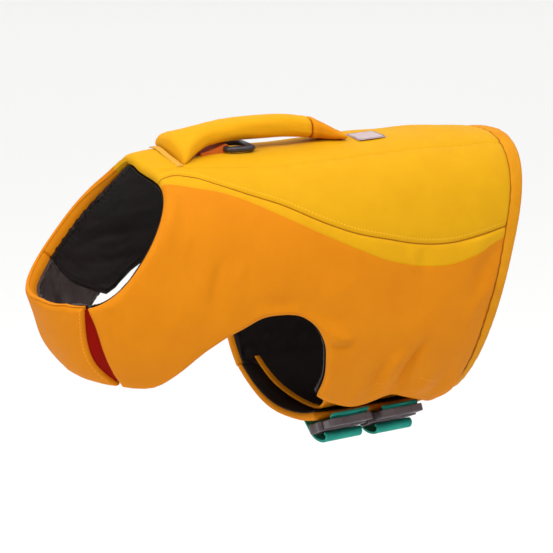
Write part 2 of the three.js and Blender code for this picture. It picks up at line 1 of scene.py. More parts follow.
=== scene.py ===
"""A dog life jacket, filled out as if worn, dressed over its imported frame.

The tables are in millimetres, and meshes are made in metres. X runs to the tail, Y to the dog's
right and Z up. A place on the cloth is its station along the back and its round, the share of the
half girth from mid-back (0) to mid-belly (1), plus on the dog's right and minus on its left.
"""
import math

import bmesh
import bpy
import numpy as np
from mathutils import Matrix, Vector


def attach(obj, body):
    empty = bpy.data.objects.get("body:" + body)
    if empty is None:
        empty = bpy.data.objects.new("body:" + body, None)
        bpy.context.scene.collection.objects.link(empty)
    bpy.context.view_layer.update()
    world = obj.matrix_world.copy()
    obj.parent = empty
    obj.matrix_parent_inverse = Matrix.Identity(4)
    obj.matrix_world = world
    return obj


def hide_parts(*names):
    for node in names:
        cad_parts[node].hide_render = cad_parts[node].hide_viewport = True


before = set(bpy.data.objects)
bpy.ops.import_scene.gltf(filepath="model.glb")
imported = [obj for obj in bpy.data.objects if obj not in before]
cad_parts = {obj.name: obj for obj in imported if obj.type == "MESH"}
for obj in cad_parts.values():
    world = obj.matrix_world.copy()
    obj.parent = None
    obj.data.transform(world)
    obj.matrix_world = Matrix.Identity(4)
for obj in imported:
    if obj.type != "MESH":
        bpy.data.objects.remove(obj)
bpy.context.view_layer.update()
MM = 0.001
JACKET = "jacket"
RING_BODY = "leash_ring"

# Layers, measured inwards from the outer face of the jacket.
FOAM = 9.6
LINING_FACE = 10.0
LINING_BACK = 11.0
BELLY_FACE = 2.7
FLAP_FACE = 12.7
FLAP_BACK = 15.1
FLAP_LINING_BACK = 16.3
GUSSET_FACE = 4.0
GUSSET_BACK = 6.4

NECK = -116
BAND_SEAM = 229
TAIL = 246


# Smooth runs through tables

def spline(columns, rows):
    """A function that gives each named column at any value of the first, kinked where a row says corner."""
    names = columns.split()
    data = np.array([list(row) + [0] * (len(names) - len(row)) for row in rows], float)
    keys = data[:, 0]
    corner = data[:, names.index("corner")] if "corner" in names else np.zeros(len(keys))
    gaps = np.diff(keys)
    slopes = np.diff(data, axis=0) / gaps[:, None]
    start, end = slopes.copy(), slopes.copy()
    for k in range(1, len(keys) - 1):
        if not corner[k]:
            mean = (slopes[k - 1] * gaps[k] + slopes[k] * gaps[k - 1]) / (gaps[k - 1] + gaps[k])
            end[k - 1], start[k] = mean, mean

    def at(x):
        x = np.asarray(x, float)
        k = np.clip(np.searchsorted(keys, x, side="right") - 1, 0, len(keys) - 2)
        f = ((x - keys[k]) / gaps[k])[..., None]
        pull = f * (1 - f) ** 2 * start[k] - f ** 2 * (1 - f) * end[k]
        value = data[k] + (data[k + 1] - data[k]) * f ** 2 * (3 - 2 * f) + gaps[k][..., None] * pull
        return {name: value[..., n] for n, name in enumerate(names)}

    return at


def mix(a, b, f):
    return a + (b - a) * f


def smooth(x):
    x = np.clip(x, 0, 1)
    return x * x * (3 - 2 * x)


def unit(vectors):
    return vectors / np.linalg.norm(vectors, axis=-1, keepdims=True)


def step_lengths(points):
    return np.linalg.norm(np.diff(points, axis=-2), axis=-1)


def running(lengths):
    """The length so far at each point of a line, from the lengths of its steps."""
    return np.concatenate([[0], np.cumsum(lengths)])


# The body that the cloth follows

BODY = spline("station topZ lowX lowZ half widest topPower lowPower turn midY", [
    [-116, 1, -210, -112, 68, 0.5, 2.3, 2.3, 12, -6],
    [-98, 5.5, -188, -168, 77, 0.5, 2.4, 2.3, 9, -4],
    [-75, 8.5, -136, -210, 85, 0.5, 2.5, 2.2, 6, -2],
    [-45, 10, -72, -233, 90, 0.48, 2.6, 2.2, 3, 0],
    [-5, 11, -14, -245, 94, 0.47, 2.7, 2.2, 0, 0],
    [50, 13, 42, -250, 97, 0.46, 2.7, 2.2, 0, 0],
    [120, 17, 98, -250, 96, 0.45, 2.7, 2.2, 0, 0],
    [190, 17, 152, -246, 92, 0.43, 2.7, 2.3, 0, 0],
    [246, 14, 191, -233, 83, 0.42, 2.7, 2.3, 0, 0],
])
NECK_CUT = {"left": 8, "right": 4, "ends_at": 0.85, "low": -2, "fades_over": 56}
CREST = {"round": 0.085, "width": 0.09}
CREST_HEIGHT = spline("station height corner", [
    [-116, 11],
    [-98, 10],
    [-82, 8.8],
    [-70, 2.6],
    [-63, 0.3],
    [-60, 0, 1],
    [246, 0],
])

FIRST_SECTION = -124.0
LAST_SECTION = 254.0
SECTION_STEP = 1.0
ANGLES = 361
SHARES = 401


def section_table():
    """For each section and share of the half girth: half width, share of the way down, and half girth."""
    stations = np.arange(FIRST_SECTION, LAST_SECTION + SECTION_STEP, SECTION_STEP)
    ring = BODY(stations)
    angle = np.linspace(0, math.pi, ANGLES)
    shares = np.linspace(0, 1, SHARES)
    rows = []
    for k in range(len(stations)):
        height = math.hypot(ring["lowX"][k] - stations[k], ring["lowZ"][k] - ring["topZ"][k])
        power = 2 / np.where(angle < math.pi / 2, ring["topPower"][k], ring["lowPower"][k])
        y = ring["half"][k] * np.sin(angle).clip(0, 1) ** power
        bulge = np.abs(np.cos(angle)) ** power
        widest = ring["widest"][k]
        down = np.where(angle < math.pi / 2, widest * (1 - bulge), widest + (1 - widest) * bulge)
        run = running(np.hypot(np.diff(y), np.diff(down) * height))
        share = run / run[-1]
        rows.append((np.interp(shares, share, y), np.interp(shares, share, down), run[-1]))
    return [np.array(column) for column in zip(*rows)]


WIDTH, DROP, HALF_GIRTH = section_table()


def neck_cut(station, around):
    share = np.abs(around)
    deepest = np.where(around < 0, NECK_CUT["left"], NECK_CUT["right"])
    bow = deepest * np.sin(math.pi * np.minimum(1, share / NECK_CUT["ends_at"]))
    fade = np.clip(1 - (station - NECK) / NECK_CUT["fades_over"], 0, 1)
    return (bow + NECK_CUT["low"] * share ** 4) * fade


def crest(station, around):
    """The low crest under the front of the handle."""
    return CREST_HEIGHT(station)["height"] * np.exp(-((around - CREST["round"]) / CREST["width"]) ** 2)


def look_up(table, station, share):
    """The value between the entries of a table with a row for each section and even shares across."""
    i = np.clip((station - FIRST_SECTION) / SECTION_STEP, 0, len(table) - 1.001)
    j = np.clip(share, 0, 0.9999) * (table.shape[1] - 1)
    i0, j0 = i.astype(int), j.astype(int)
    near = mix(table[i0, j0], table[i0, j0 + 1], j - j0)
    return mix(near, mix(table[i0 + 1, j0], table[i0 + 1, j0 + 1], j - j0), i - i0)


def turned_back(around):
    return np.where(around > 1, around - 2, np.where(around < -1, around + 2, around))


def face(station, around):
    """Points of the outer face, in millimetres. Past mid-belly, round goes on up the other side."""
    station, around = np.broadcast_arrays(np.asarray(station, float), np.asarray(around, float))
    turned = turned_back(around)
    at = station + neck_cut(station, turned)
    ring = BODY(at)
    y, drop = look_up(WIDTH, at, np.abs(turned)) * np.sign(turned), look_up(DROP, at, np.abs(turned))
    turn = np.radians(ring["turn"])
    return np.stack([
        mix(at, ring["lowX"], drop) - y * np.sin(turn),
        ring["midY"] + y * np.cos(turn),
        mix(ring["topZ"], ring["lowZ"], drop) + crest(at, turned),
    ], -1)


PROBE_STATION = 2.0
PROBE_ROUND = 0.012


def outward(station, around):
    lengthways = face(station + PROBE_STATION, around) - face(station - PROBE_STATION, around)
    roundways = face(station, around + PROBE_ROUND) - face(station, around - PROBE_ROUND)
    return unit(np.cross(lengthways, roundways))


def body_point(station, around, depth):
    return face(station, around) - outward(station, around) * np.asarray(depth)[..., None]


SECTIONS = FIRST_SECTION + SECTION_STEP * np.arange(len(HALF_GIRTH))


def lengthways_table():
    """For each section and share of the half girth, the length of cloth from station 0."""
    shares = np.linspace(0, 1, 81)
    points = face(SECTIONS[:, None], shares[None])
    run = np.cumsum(np.linalg.norm(np.diff(points, axis=0, prepend=points[:1]), axis=-1), axis=0)
    return run - run[int(-FIRST_SECTION / SECTION_STEP)]


LENGTHWAYS = lengthways_table()


def flat_place(station, around):
    """A place on the cloth rolled out flat, in millimetres: lengthways, and round from mid-back."""
    station, around = np.broadcast_arrays(np.asarray(station, float), np.asarray(around, float))
    girth = np.interp(station, SECTIONS, HALF_GIRTH)
    return look_up(LENGTHWAYS, station, np.abs(turned_back(around))), around * girth


# Seams and edges

SEAMS = spline("station spine upper stripe", [
    [-116, 0.085, 0.14, 0.168],
    [-104, 0.085, 0.122, 0.172],
    [-84, 0.092, 0.143, 0.19],
    [-65, 0.105, 0.176, 0.206],
    [-40, 0.122, 0.212, 0.236],
    [-12, 0.132, 0.247, 0.278],
    [30, 0.136, 0.308, 0.34],
    [55, 0.136, 0.337, 0.373],
    [90, 0.136, 0.364, 0.415],
    [126, 0.136, 0.387, 0.44],
    [162, 0.136, 0.394, 0.448],
    [195, 0.134, 0.386, 0.433],
    [229, 0.13, 0.375, 0.4],
])
LEFT_EDGE = spline("across station round corner", [
    [-116, -114, 0.765],
    [-105, -104, 0.776],
    [-99.5, -95, 0.806],
    [-94, -84, 0.856, 1],
    [-86, -76, 0.806],
    [-78, -71, 0.738],
    [-68, -64, 0.665],
    [-56, -53, 0.605],
    [-42, -40, 0.565],
    [-26, -26, 0.535],
    [-10, -10, 0.527],
    [4, 4, 0.529],
    [16, 14, 0.542],
    [28, 24, 0.567],
    [40, 32, 0.606],
    [58, 36, 0.656],
    [76, 38, 0.712],
    [92, 36, 0.772, 1],
    [104, 54, 0.8],
    [120, 82, 0.828],
    [135, 106, 0.817],
    [150, 126, 0.802],
    [165, 148, 0.822],
    [182, 172, 0.85],
    [200, 196, 0.888],
    [229, 226, 0.896],
])
RIGHT_EDGE = spline("across station round corner", [
    [-116, -116, 0.6, 1],
    [-94, -80, 0.6, 1],
    [-78, -66, 0.505],
    [-56, -50, 0.469],
    [-26, -26, 0.468],
    [-10, -11, 0.494],
    [4, 0, 0.552],
    [16, 5, 0.632],
    [28, 8, 0.712],
    [40, 12, 0.786, 1],
    [76, 50, 0.803],
    [120, 98, 0.81],
    [150, 140, 0.81],
    [200, 195, 0.805],
    [229, 226, 0.8],
])
LOWER_EDGES = {"left": LEFT_EDGE, "right": RIGHT_EDGE}
CORNERS = {"left": (-94, 92), "right": (-94, 40)}
SIDES = {"left": -1, "right": 1}

CHEST_SEAM = 0.6
CHEST_SEAM_END = -80
CHEST_EDGE = spline("down station round", [
    [0, -115, 1.23],
    [0.25, -110, 1.202],
    [0.5, -103, 1.17],
    [0.75, -94, 1.148],
    [1, -84.5, 1.137],
])
CHEST_HEM = spline("along station round", [
    [0, -80, 0.6],
    [0.12, -84, 0.665],
    [0.35, -89, 0.79],
    [0.7, -93, 0.985],
    [0.87, -90, 1.07],
    [1, -84.5, 1.137],
])
SLIT = {"from": NECK, "to": -94, "start": 0.06, "end": 0.95}
BELLY_FRONT = spline("down station round", [
    [0, 12, 0.786],
    [0.3, 22, 0.878],
    [0.5, 29, 0.94],
    [0.75, 39, 1.02],
    [1, 50, 1.1],
])
BELLY_REAR = (206, 1.1)
LEG_HOLE_END = 40
FLAP_FRONT = spline("along station round", [
    [0, 28, 0.77],
    [0.2, 39, 0.85],
    [0.45, 54, 0.95],
    [0.65, 60, 1.03],
    [0.85, 57, 1.12],
    [1, 52, 1.19],
])
FLAP_REAR = 204


def pair(run):
    return lambda f: np.stack([run(f)["station"], run(f)["round"]], -1)


def straight(a, b):
    return lambda f: mix(np.array(a, float), np.array(b, float), np.asarray(f, float)[..., None])


def patch(top, bottom, left, right):
    """Fills four edges, each a function from 0 to 1 that gives [station, round]."""
    def at(s, v):
        down = np.asarray(v)[..., None]
        along = np.asarray(s)[..., None]
        rows = mix(top(s), bottom(s), down)
        columns = mix(left(v), right(v), along)
        corners = mix(mix(top(0.0), top(1.0), along), mix(bottom(0.0), bottom(1.0), along), down)
        return rows + columns - corners
    return at


def between_seams(side, upper, lower):
    """Fills a side from one lengthways seam to another, or to the lower edge."""
    sign = SIDES[side]

    def mark(name, station):
        if name == "edge":
            return pair(LOWER_EDGES[side])(station)
        return np.stack([station, SEAMS(station)[name]], -1)

    def at(s, v):
        station = mix(NECK, BAND_SEAM, s)
        place = mix(mark(upper, station), mark(lower, station), np.asarray(v)[..., None])
        return place * [1, sign]
    return at


def spine_place(s, v):
    station = mix(NECK, BAND_SEAM, s)
    return np.stack([station, SEAMS(station)["spine"] * mix(1, -1, v)], -1)


chest_place = patch(
    top=straight((NECK, CHEST_SEAM), pair(CHEST_EDGE)(0.0)),
    bottom=pair(CHEST_HEM),
    left=straight((NECK, CHEST_SEAM), (CHEST_SEAM_END, CHEST_SEAM)),
    right=pair(CHEST_EDGE),
)


def gusset_place(s, v):
    """From the chest panel's free edge to the left side's front edge."""
    f = mix(SLIT["start"], SLIT["end"], s)
    chest = pair(CHEST_EDGE)(f)
    side = pair(LOWER_EDGES["left"])(mix(SLIT["from"], SLIT["to"], f)) * [1, -1] + [0, 2]
    return mix(chest, side, np.asarray(v)[..., None])


def belly_top(f):
    return pair(LOWER_EDGES["right"])(mix(LEG_HOLE_END, BAND_SEAM, f))


belly_place = patch(
    top=belly_top,
    bottom=straight(pair(BELLY_FRONT)(1.0), BELLY_REAR),
    left=pair(BELLY_FRONT),
    right=straight(belly_top(1.0), BELLY_REAR),
)


def flap_place(s, v):
    front = pair(FLAP_FRONT)(s)
    station = mix(front[..., 0], FLAP_REAR, v)
    return np.stack([station, front[..., 1]], -1)


BAND_FROM = 0.8


def band_place(s, v):
    """Round the tail opening, from the right hem over the back to the left hem."""
    around = mix(BAND_FROM, -LOWER_EDGES["left"](BAND_SEAM)["round"], s)
    return np.stack([mix(BAND_SEAM, TAIL, v), around], -1)


# Creases, each from one place to another. Height is how far one stands out, and it sinks below zero.
# Columns: from station, from round, to station, to round, width, height.

CREASES = {
    "left": [
        [34, -0.575, 68, -0.6, 5, 2.6],
        [38, -0.615, 68, -0.59, 5, -2.2],
        [147, -0.635, 131, -0.79, 4.6, -5.4],
        [122, -0.65, 112, -0.775, 7, 4.2],
        [106, -0.675, 98, -0.765, 4.5, -2.4],
        [62, -0.8, 78, -0.72, 6, 2.3],
        [-34, -0.485, 8, -0.488, 7, -2.0],
        [6, -0.488, 62, -0.555, 8, -2.2],
        [-62, -0.39, -60, -0.53, 7, -2.2],
        [-48, -0.39, -40, -0.5, 8, 2.0],
        [-86, -0.34, -76, -0.46, 9, -1.6],
        [30, -0.42, 60, -0.47, 12, 1.7],
        [96, -0.5, 150, -0.53, 14, -1.7],
        [150, -0.8, 162, -0.7, 9, 2.6],
        [176, -0.84, 190, -0.72, 8, -2.8],
        [204, -0.87, 210, -0.74, 8, 2.6],
        [96, -0.79, 88, -0.7, 7, -2.3],
        [-108, -0.26, -100, -0.44, 7, 1.6],
        [-100, -0.22, -88, -0.36, 7, -1.3],
        [-101, -0.73, -84, -0.645, 4, 2.2],
        [-97, -0.71, -82, -0.63, 4, -1.7],
        [-100, -0.62, -86, -0.54, 8, -1.7],
        [-112, -0.72, -104, -0.6, 5, -1.6],
        [222, -0.42, 206, -0.56, 9, -2.8],
        [224, -0.52, 200, -0.64, 8, 2.3],
        [212, -0.36, 196, -0.47, 12, 1.6],
        [120, -0.395, 130, -0.455, 6, 1.6],
        [132, -0.395, 140, -0.455, 6, -1.2],
    ],
    "right": [
        [-16, 0.46, -28, 0.34, 8, -1.6],
        [6, 0.56, 16, 0.44, 9, 1.4],
        [14, 0.68, 34, 0.58, 8, -1.5],
        [-60, 0.46, -72, 0.36, 8, 1.4],
        [-108, 0.3, -98, 0.46, 7, 1.1],
        [110, 0.78, 122, 0.64, 9, 1.9],
        [160, 0.78, 166, 0.64, 9, -1.8],
        [206, 0.78, 212, 0.64, 9, 1.4],
        [222, 0.42, 204, 0.56, 9, -1.5],
        [60, 0.78, 72, 0.7, 9, -1.4],
    ],
    "chest": [
        [-108, 0.72, -96, 0.86, 7, 1.0],
        [-112, 0.95, -98, 1.02, 8, -0.9],
        [-100, 1.1, -92, 0.98, 6, 0.9],
    ],
    "belly": [
        [40, 0.86, 70, 0.96, 8, -1.3],
        [120, 0.84, 128, 1.02, 9, 1.0],
        [176, 0.86, 182, 1.02, 9, -1.0],
    ],
    "back": [
        [-110, 0.06, -96, 0.03, 6, -0.7],
        [-108, -0.07, -98, -0.04, 6, 0.7],
        [150, 0.05, 200, -0.04, 14, 0.7],
    ],
    "lining_right": [
        [-104, 0.5, -60, 0.4, 6, 1.6],
        [-96, 0.42, -50, 0.33, 7, -1.4],
        [-108, 0.34, -70, 0.22, 8, 1.3],
        [-92, 0.56, -60, 0.47, 5, 1.5],
        [-110, 0.24, -84, 0.12, 6, -1.0],
    ],
    "lining_chest": [
        [-112, 0.66, -92, 0.95, 6, 2.4],
        [-104, 0.62, -90, 0.84, 5, -1.6],
        [-110, 0.86, -96, 1.08, 6, 1.6],
    ],
}


def creased(name, x, y):
    """How far the creases of one piece stand out at each flat place."""
    total = np.zeros(np.shape(x))
    for from_station, from_round, to_station, to_round, width, height in CREASES.get(name, []):
        ax, ay = flat_place(from_station, from_round)
        bx, by = flat_place(to_station, to_round)
        length = math.hypot(bx - ax, by - ay)
        along = ((x - ax) * (bx - ax) + (y - ay) * (by - ay)) / length ** 2
        off = ((x - ax) * (by - ay) - (y - ay) * (bx - ax)) / length
        bow = width * 0.8 * np.sin(math.pi * np.clip(along, 0, 1))
        taper = smooth((along + 0.15) / 0.45) * smooth((1.15 - along) / 0.6)
        total += height * np.exp(-((off - bow) / width) ** 2) * taper
    return total


DRIFT_WAVES = [
    (0.041, 0.017, 0.4), (-0.023, 0.047, 1.9), (0.067, -0.039, 3.1), (0.019, 0.081, 5.2), (0.11, 0.05, 0.7),
]
DRIFT_HEIGHT = 0.3


def drift(x, y):
    """The slight unevenness of sewn foam."""
    return DRIFT_HEIGHT * sum(np.sin(a * x + b * y + phase) for a, b, phase in DRIFT_WAVES)


# Meshes

def grid_faces(columns, rows, first=0):
    i, j = np.meshgrid(np.arange(columns - 1), np.arange(rows - 1), indexing="ij")
    a = first + i * rows + j
    return np.stack([a, a + rows, a + rows + 1, a + 1], -1).reshape(-1, 4)


def linked(name, data):
    thing = bpy.data.objects.new(name, data)
    bpy.context.scene.collection.objects.link(thing)
    return thing


def finished(name, mesh, work, sharp_angle):
    """A smooth object from a working mesh, with its normals outwards and its corners kept sharp."""
    bmesh.ops.recalc_face_normals(work, faces=work.faces)
    work.to_mesh(mesh)
    work.free()
    mesh.materials.clear()
    mesh.shade_smooth()
    mesh.set_sharp_from_angle(angle=math.radians(sharp_angle))
    return linked(name, mesh)


def lay_uv(mesh, uv):
    """Gives a mesh its uv, in millimetres, from one place for each of its points."""
    layer = mesh.uv_layers.new(name="cloth")
    corners = np.zeros(len(mesh.loops), int)
    mesh.loops.foreach_get("vertex_index", corners)
    layer.data.foreach_set("uv", np.asarray(uv, float)[corners].ravel())


def new_object(name, points, faces, uv=None, merge=0.0, marks=None):
    """A smooth object from points in millimetres, with its marks as values at its points."""
    mesh = bpy.data.meshes.new(name)
    mesh.from_pydata((np.asarray(points) * MM).tolist(), [], [list(map(int, around)) for around in faces])
    for mark, values in (marks or {}).items():
        layer = mesh.attributes.new(mark, "FLOAT", "POINT")
        layer.data.foreach_set("value", np.asarray(values, float).ravel())
    if uv is not None:
        lay_uv(mesh, uv)
    work = bmesh.new()
    work.from_mesh(mesh)
    if merge:
        bmesh.ops.remove_doubles(work, verts=work.verts, dist=merge * MM)
        bmesh.ops.dissolve_degenerate(work, edges=work.edges, dist=1e-7)
    return finished(name, mesh, work, 48)


MERGE = 0.02


def slab(name, layers, x, y, marks=None):
    """A closed sheet between two layers of points, upper first, with marks on its upper layer only."""
    columns, rows = layers[0].shape[:2]
    back = columns * rows
    faces = [grid_faces(columns, rows), grid_faces(columns, rows, back)[:, ::-1]]
    rings = [np.arange(rows), (columns - 1) * rows + np.arange(rows)]
    rings += [np.arange(columns) * rows, np.arange(columns) * rows + rows - 1]
    for ring in rings:
        faces.append(np.stack([ring[:-1], ring[1:], ring[1:] + back, ring[:-1] + back], -1))
    points = np.concatenate([layer.reshape(-1, 3) for layer in layers])
    uv = np.stack([x, y], -1).reshape(-1, 2)
    marks = {mark: np.stack([values, 0 * values]) for mark, values in (marks or {}).items()}
    return new_object(name, points, np.concatenate(faces), np.concatenate([uv, uv]), MERGE, marks)


NEAR_EDGE = np.array([0, 0.3, 0.9, 1.8, 2.9, 4.2, 6.0])


def spread(lengths, step):
    """For each length, distances from 0 to it: close together near both ends, then about a step apart."""
    lengths = np.atleast_1d(np.asarray(lengths, float))
    inner = max(2, int(round((lengths.max() - 2 * NEAR_EDGE[-1]) / step)))
    scale = np.minimum(1, 0.4 * lengths / NEAR_EDGE[-1])[:, None]
    near = NEAR_EDGE * scale
    far = lengths[:, None] - near[:, ::-1]
    middle = mix(near[:, -1:], far[:, :1], np.linspace(0, 1, inner + 1)[1:-1])
    return np.concatenate([near, middle, far], 1)


def edge_distance(points, line):
    """The distance from each point to a line through other points."""
    start, step = line[:-1], np.diff(line, axis=0)
    flat = points.reshape(-1, 1, 3) - start
    f = np.clip((flat * step).sum(-1) / np.maximum((step ** 2).sum(-1), 1e-9), 0, 1)
    return np.linalg.norm(flat - f[..., None] * step, axis=-1).min(1).reshape(points.shape[:-1])


def cloth_grid(place, step, keep=()):
    """Places in columns and rows over a piece, closer near its edges, with columns kept at given shares."""
    middle = face(*np.moveaxis(place(np.linspace(0, 1, 80), np.full(80, 0.5)), -1, 0))
    s = spread(step_lengths(middle).sum(), step)[0]
    s = s / s[-1]
    for share in keep:
        s[1 + np.argmin(np.abs(s[1:-1] - share))] = share
    v = np.linspace(0, 1, 30)
    columns = place(np.repeat(s[:, None], len(v), 1), np.repeat(v[None], len(s), 0))
    lengths = step_lengths(face(columns[..., 0], columns[..., 1])).sum(-1)
    down = spread(lengths, step)
    return place(np.repeat(s[:, None], down.shape[1], 1), down / lengths[:, None])


class Cloth:
    """Places over a piece, with their points on the outer face, its four edges and its flat places."""

    def __init__(self, place, step, keep=()):
        grid = cloth_grid(place, step, keep)
        self.station, self.around = grid[..., 0], grid[..., 1]
        self.points = face(self.station, self.around)
        self.edges = [self.points[0], self.points[-1], self.points[:, 0], self.points[:, -1]]
        self.x, self.y = flat_place(self.station, self.around)

    def far(self):
        return np.full(self.station.shape, 1e3)

    def off(self, edge_number):
        return edge_distance(self.points, self.edges[edge_number])

    def rim(self, kinds):
        """The distance in from the nearest edge that is a rim."""
        rims = [self.off(number) for number, kind in enumerate(kinds.split()) if kind == "rim"]
        return np.minimum.reduce(rims + [self.far()])

    def slab(self, name, depths, marks=None):
        """A closed sheet between two depths below the outer face, the upper one first."""
        normal = outward(self.station, self.around)
        layers = [self.points - normal * depth[..., None] for depth in depths]
        return slab(name, layers, self.x, self.y, marks)


def rounding(radius, reach):
    """How far a round edge has fallen away, at a distance in from it."""
    return radius - np.sqrt(np.maximum(radius ** 2 - np.maximum(radius - reach, 0) ** 2, 0))


SEAM_DEPTHS = {"seam": (1.2, 2.0), "soft": (0.7, 2.2), "flush": (0.12, 1.0)}
PUCKER_HEIGHT = 0.24
PUCKER_REACH = 7
PUFF_REACH = 16
FAR = 20.0
SOFT_SEAM_OFFSET = 0.75
THREAD_ZERO = 50.0
THREAD_DEPTH = 0.3
THREAD_WIDTH = 1.1
FACING_SLANT = 3.0
FACING_WIDTH = 10.0


def panel(name, place, kinds, outer=0.0, inner=FOAM, puff=1.2, step=3.2, creases=None, keep=(), pucker=1.0,
          threads=(), facing_edge=None):
    """A padded piece. Kinds names its neck, tail, upper and lower edges: rim, seam, soft, flush or hidden.

    Each row of threads is a line of stitches: the edge it follows, how far from it, and its first and
    last station. The inside thins towards facing_edge.
    """
    cloth = Cloth(place, step, keep)
    x, y = cloth.x, cloth.y
    rim, sewn, seam_shade_at, thread = cloth.rim(kinds), cloth.far(), cloth.far(), cloth.far()
    depth = np.full(x.shape, float(outer))
    for number, kind in enumerate(kinds.split()):
        if kind not in SEAM_DEPTHS:
            continue
        distance = cloth.off(number)
        deep, wide = SEAM_DEPTHS[kind]
        depth += deep * np.exp(-(distance / wide) ** 1.3)
        if kind != "flush":
            sewn = np.minimum(sewn, distance)
            seam_shade_at = np.minimum(seam_shade_at, distance + (SOFT_SEAM_OFFSET if kind == "soft" else 0))
    for number, away, first, last in threads:
        off = cloth.off(number) - away
        off = np.where((cloth.station > first) & (cloth.station < last), off, np.copysign(cloth.far(), off))
        depth += THREAD_DEPTH * np.exp(-(off / THREAD_WIDTH) ** 2)
        thread = np.where(np.abs(off) < np.abs(thread), off, thread)
    wave = np.sin(x * 0.55 + 1.7 * np.sin(x * 0.13)) * np.sin(y * 0.49 + 1.3 * np.sin(y * 0.11) + 0.8)
    edge = np.minimum(sewn, rim)
    depth += pucker * PUCKER_HEIGHT * wave * np.exp(-edge / PUCKER_REACH)
    depth -= puff * (1 - np.exp(-edge / PUFF_REACH))
    depth -= creased(creases, x, y) * smooth(edge / 5 + 0.25)
    depth -= drift(x, y)
    radius = (inner - outer) / 2
    curl = rounding(radius, rim)
    low = inner - curl
    if facing_edge is not None:
        low = low - FACING_SLANT * smooth(1 - cloth.off(facing_edge) / FACING_WIDTH)
    # The sewn mark tells the material where to paint shade along the seams.
    return cloth.slab(name, (mix(outer, depth, smooth(rim / radius)) + curl, low), marks={
        "sewn": FAR - np.minimum(seam_shade_at, FAR),
        "thread": THREAD_ZERO + np.clip(thread, -THREAD_ZERO, THREAD_ZERO),
        "along": x if all(number > 1 for number, *_ in threads) else y,
    })


WRINKLE_WAVES = [
    (0.05, 0.12, 0.3, 0.8), (-0.09, 0.07, 2.1, 0.7), (0.16, 0.05, 4.0, 0.45),
    (0.03, -0.21, 1.2, 0.35), (0.24, -0.15, 3.3, 0.22), (-0.31, -0.22, 5.1, 0.14),
]


def wrinkles(x, y):
    """Soft ridges over a lining, sharper on top than below, with calmer stretches between them."""
    total = sum(h * (1 - np.abs(np.sin(a * x + b * y + p + 0.9 * np.sin(0.04 * y + 0.03 * x))))
                for a, b, p, h in WRINKLE_WAVES)
    calm = 0.5 + 0.5 * np.sin(0.027 * x + 0.4 + 1.6 * np.sin(0.019 * y + 1.0))
    return total * (0.2 + 0.7 * calm)


def set_back(place, reach, turned=False):
    """A place function whose neck edge lies further in by reach(f), in millimetres; f runs round the edge."""
    def at(s, v):
        spot = place(s, v)
        station, around = spot[..., 0], spot[..., 1]
        ahead = face(station + PROBE_STATION, around) - face(station, around)
        stretch = np.linalg.norm(ahead, axis=-1) / PROBE_STATION
        shift = reach(s if turned else v) * (1 - (v if turned else s)) / stretch
        return np.stack([station + shift, around], -1)
    return at


LINING_STEP = 3.4
LINING_INSET = 2.6
LINING_THICK = 0.8
LINING_GAP = 0.1


def lining(name, place, kinds, outer=LINING_FACE, inner=LINING_BACK, wrinkle=1.0, keep=(), creases=None,
           gathered=0.35):
    """A thin lining behind a panel, which follows its rim and stops short of the edge."""
    cloth = Cloth(place, LINING_STEP, keep)
    x, y = cloth.x, cloth.y
    rim = cloth.rim(kinds)
    curl = rounding(inner / 2, rim + LINING_INSET)
    gather = gathered * (1 + np.sin(x * 0.8 + 2 * np.sin(x * 0.17)) * np.sin(y * 0.9)) * np.exp(-rim / 5)
    rise = wrinkle * (wrinkles(x, y) * smooth(rim / 12) + gather) + creased(creases, x, y)
    low = inner - curl + rise
    return cloth.slab(name, (np.minimum(low - LINING_THICK, outer + LINING_GAP - curl), low))


# Materials

def srgb(red, green, blue):
    def one(value):
        value /= 255
        return value / 12.92 if value <= 0.04045 else ((value + 0.055) / 1.055) ** 2.4
    return (one(red), one(green), one(blue), 1.0)


class Look:
    """A material with its shader, and short ways to add nodes. A value may be another node's output."""

    def __init__(self, name, **values):
        self.material = bpy.data.materials.new(name)
        self.material.use_nodes = True
        self.tree = self.material.node_tree
        self.shader = self.feed(self.tree.nodes["Principled BSDF"], **values)

    def fill(self, socket, value):
        if isinstance(value, bpy.types.NodeSocket):
            self.tree.links.new(value, socket)
        else:
            socket.default_value = value

    def feed(self, node, **values):
        for key, value in values.items():
            socket = key.replace("_", " ")
            if socket in node.inputs:
                self.fill(node.inputs[socket], value)
            else:
                setattr(node, key, value)
        return node

    def node(self, kind, output, **values):
        return self.feed(self.tree.nodes.new("ShaderNode" + kind), **values).outputs[output]

    def noise(self, where, scale, detail, roughness=0.5):
        return self.node("TexNoise", "Fac", Vector=where, Scale=scale, Detail=detail, Roughness=roughness)

    def blend(self, factor, first, second):
        colour = self.node("Mix", 2, data_type="RGBA", Factor=factor)
        self.fill(colour.node.inputs[6], first)
        self.fill(colour.node.inputs[7], second)
        return colour

    def math(self, operation, *values, clamp=False):
        result = self.node("Math", 0, operation=operation, use_clamp=clamp)
        for socket, value in zip(result.node.inputs, values):
            self.fill(socket, value)
        return result

    def sine(self, value, period):
        return self.math("SINE", self.math("MULTIPLY", value, 2 * math.pi / period))


STITCH = 3.1
SEAM_SHADE_LINE = 0.95
THREAD_LINE = 0.62
SHEEN_SPREAD = 0.1
CLOTH_BUMP = 0.00025
MOULDED_BUMP = 0.0002


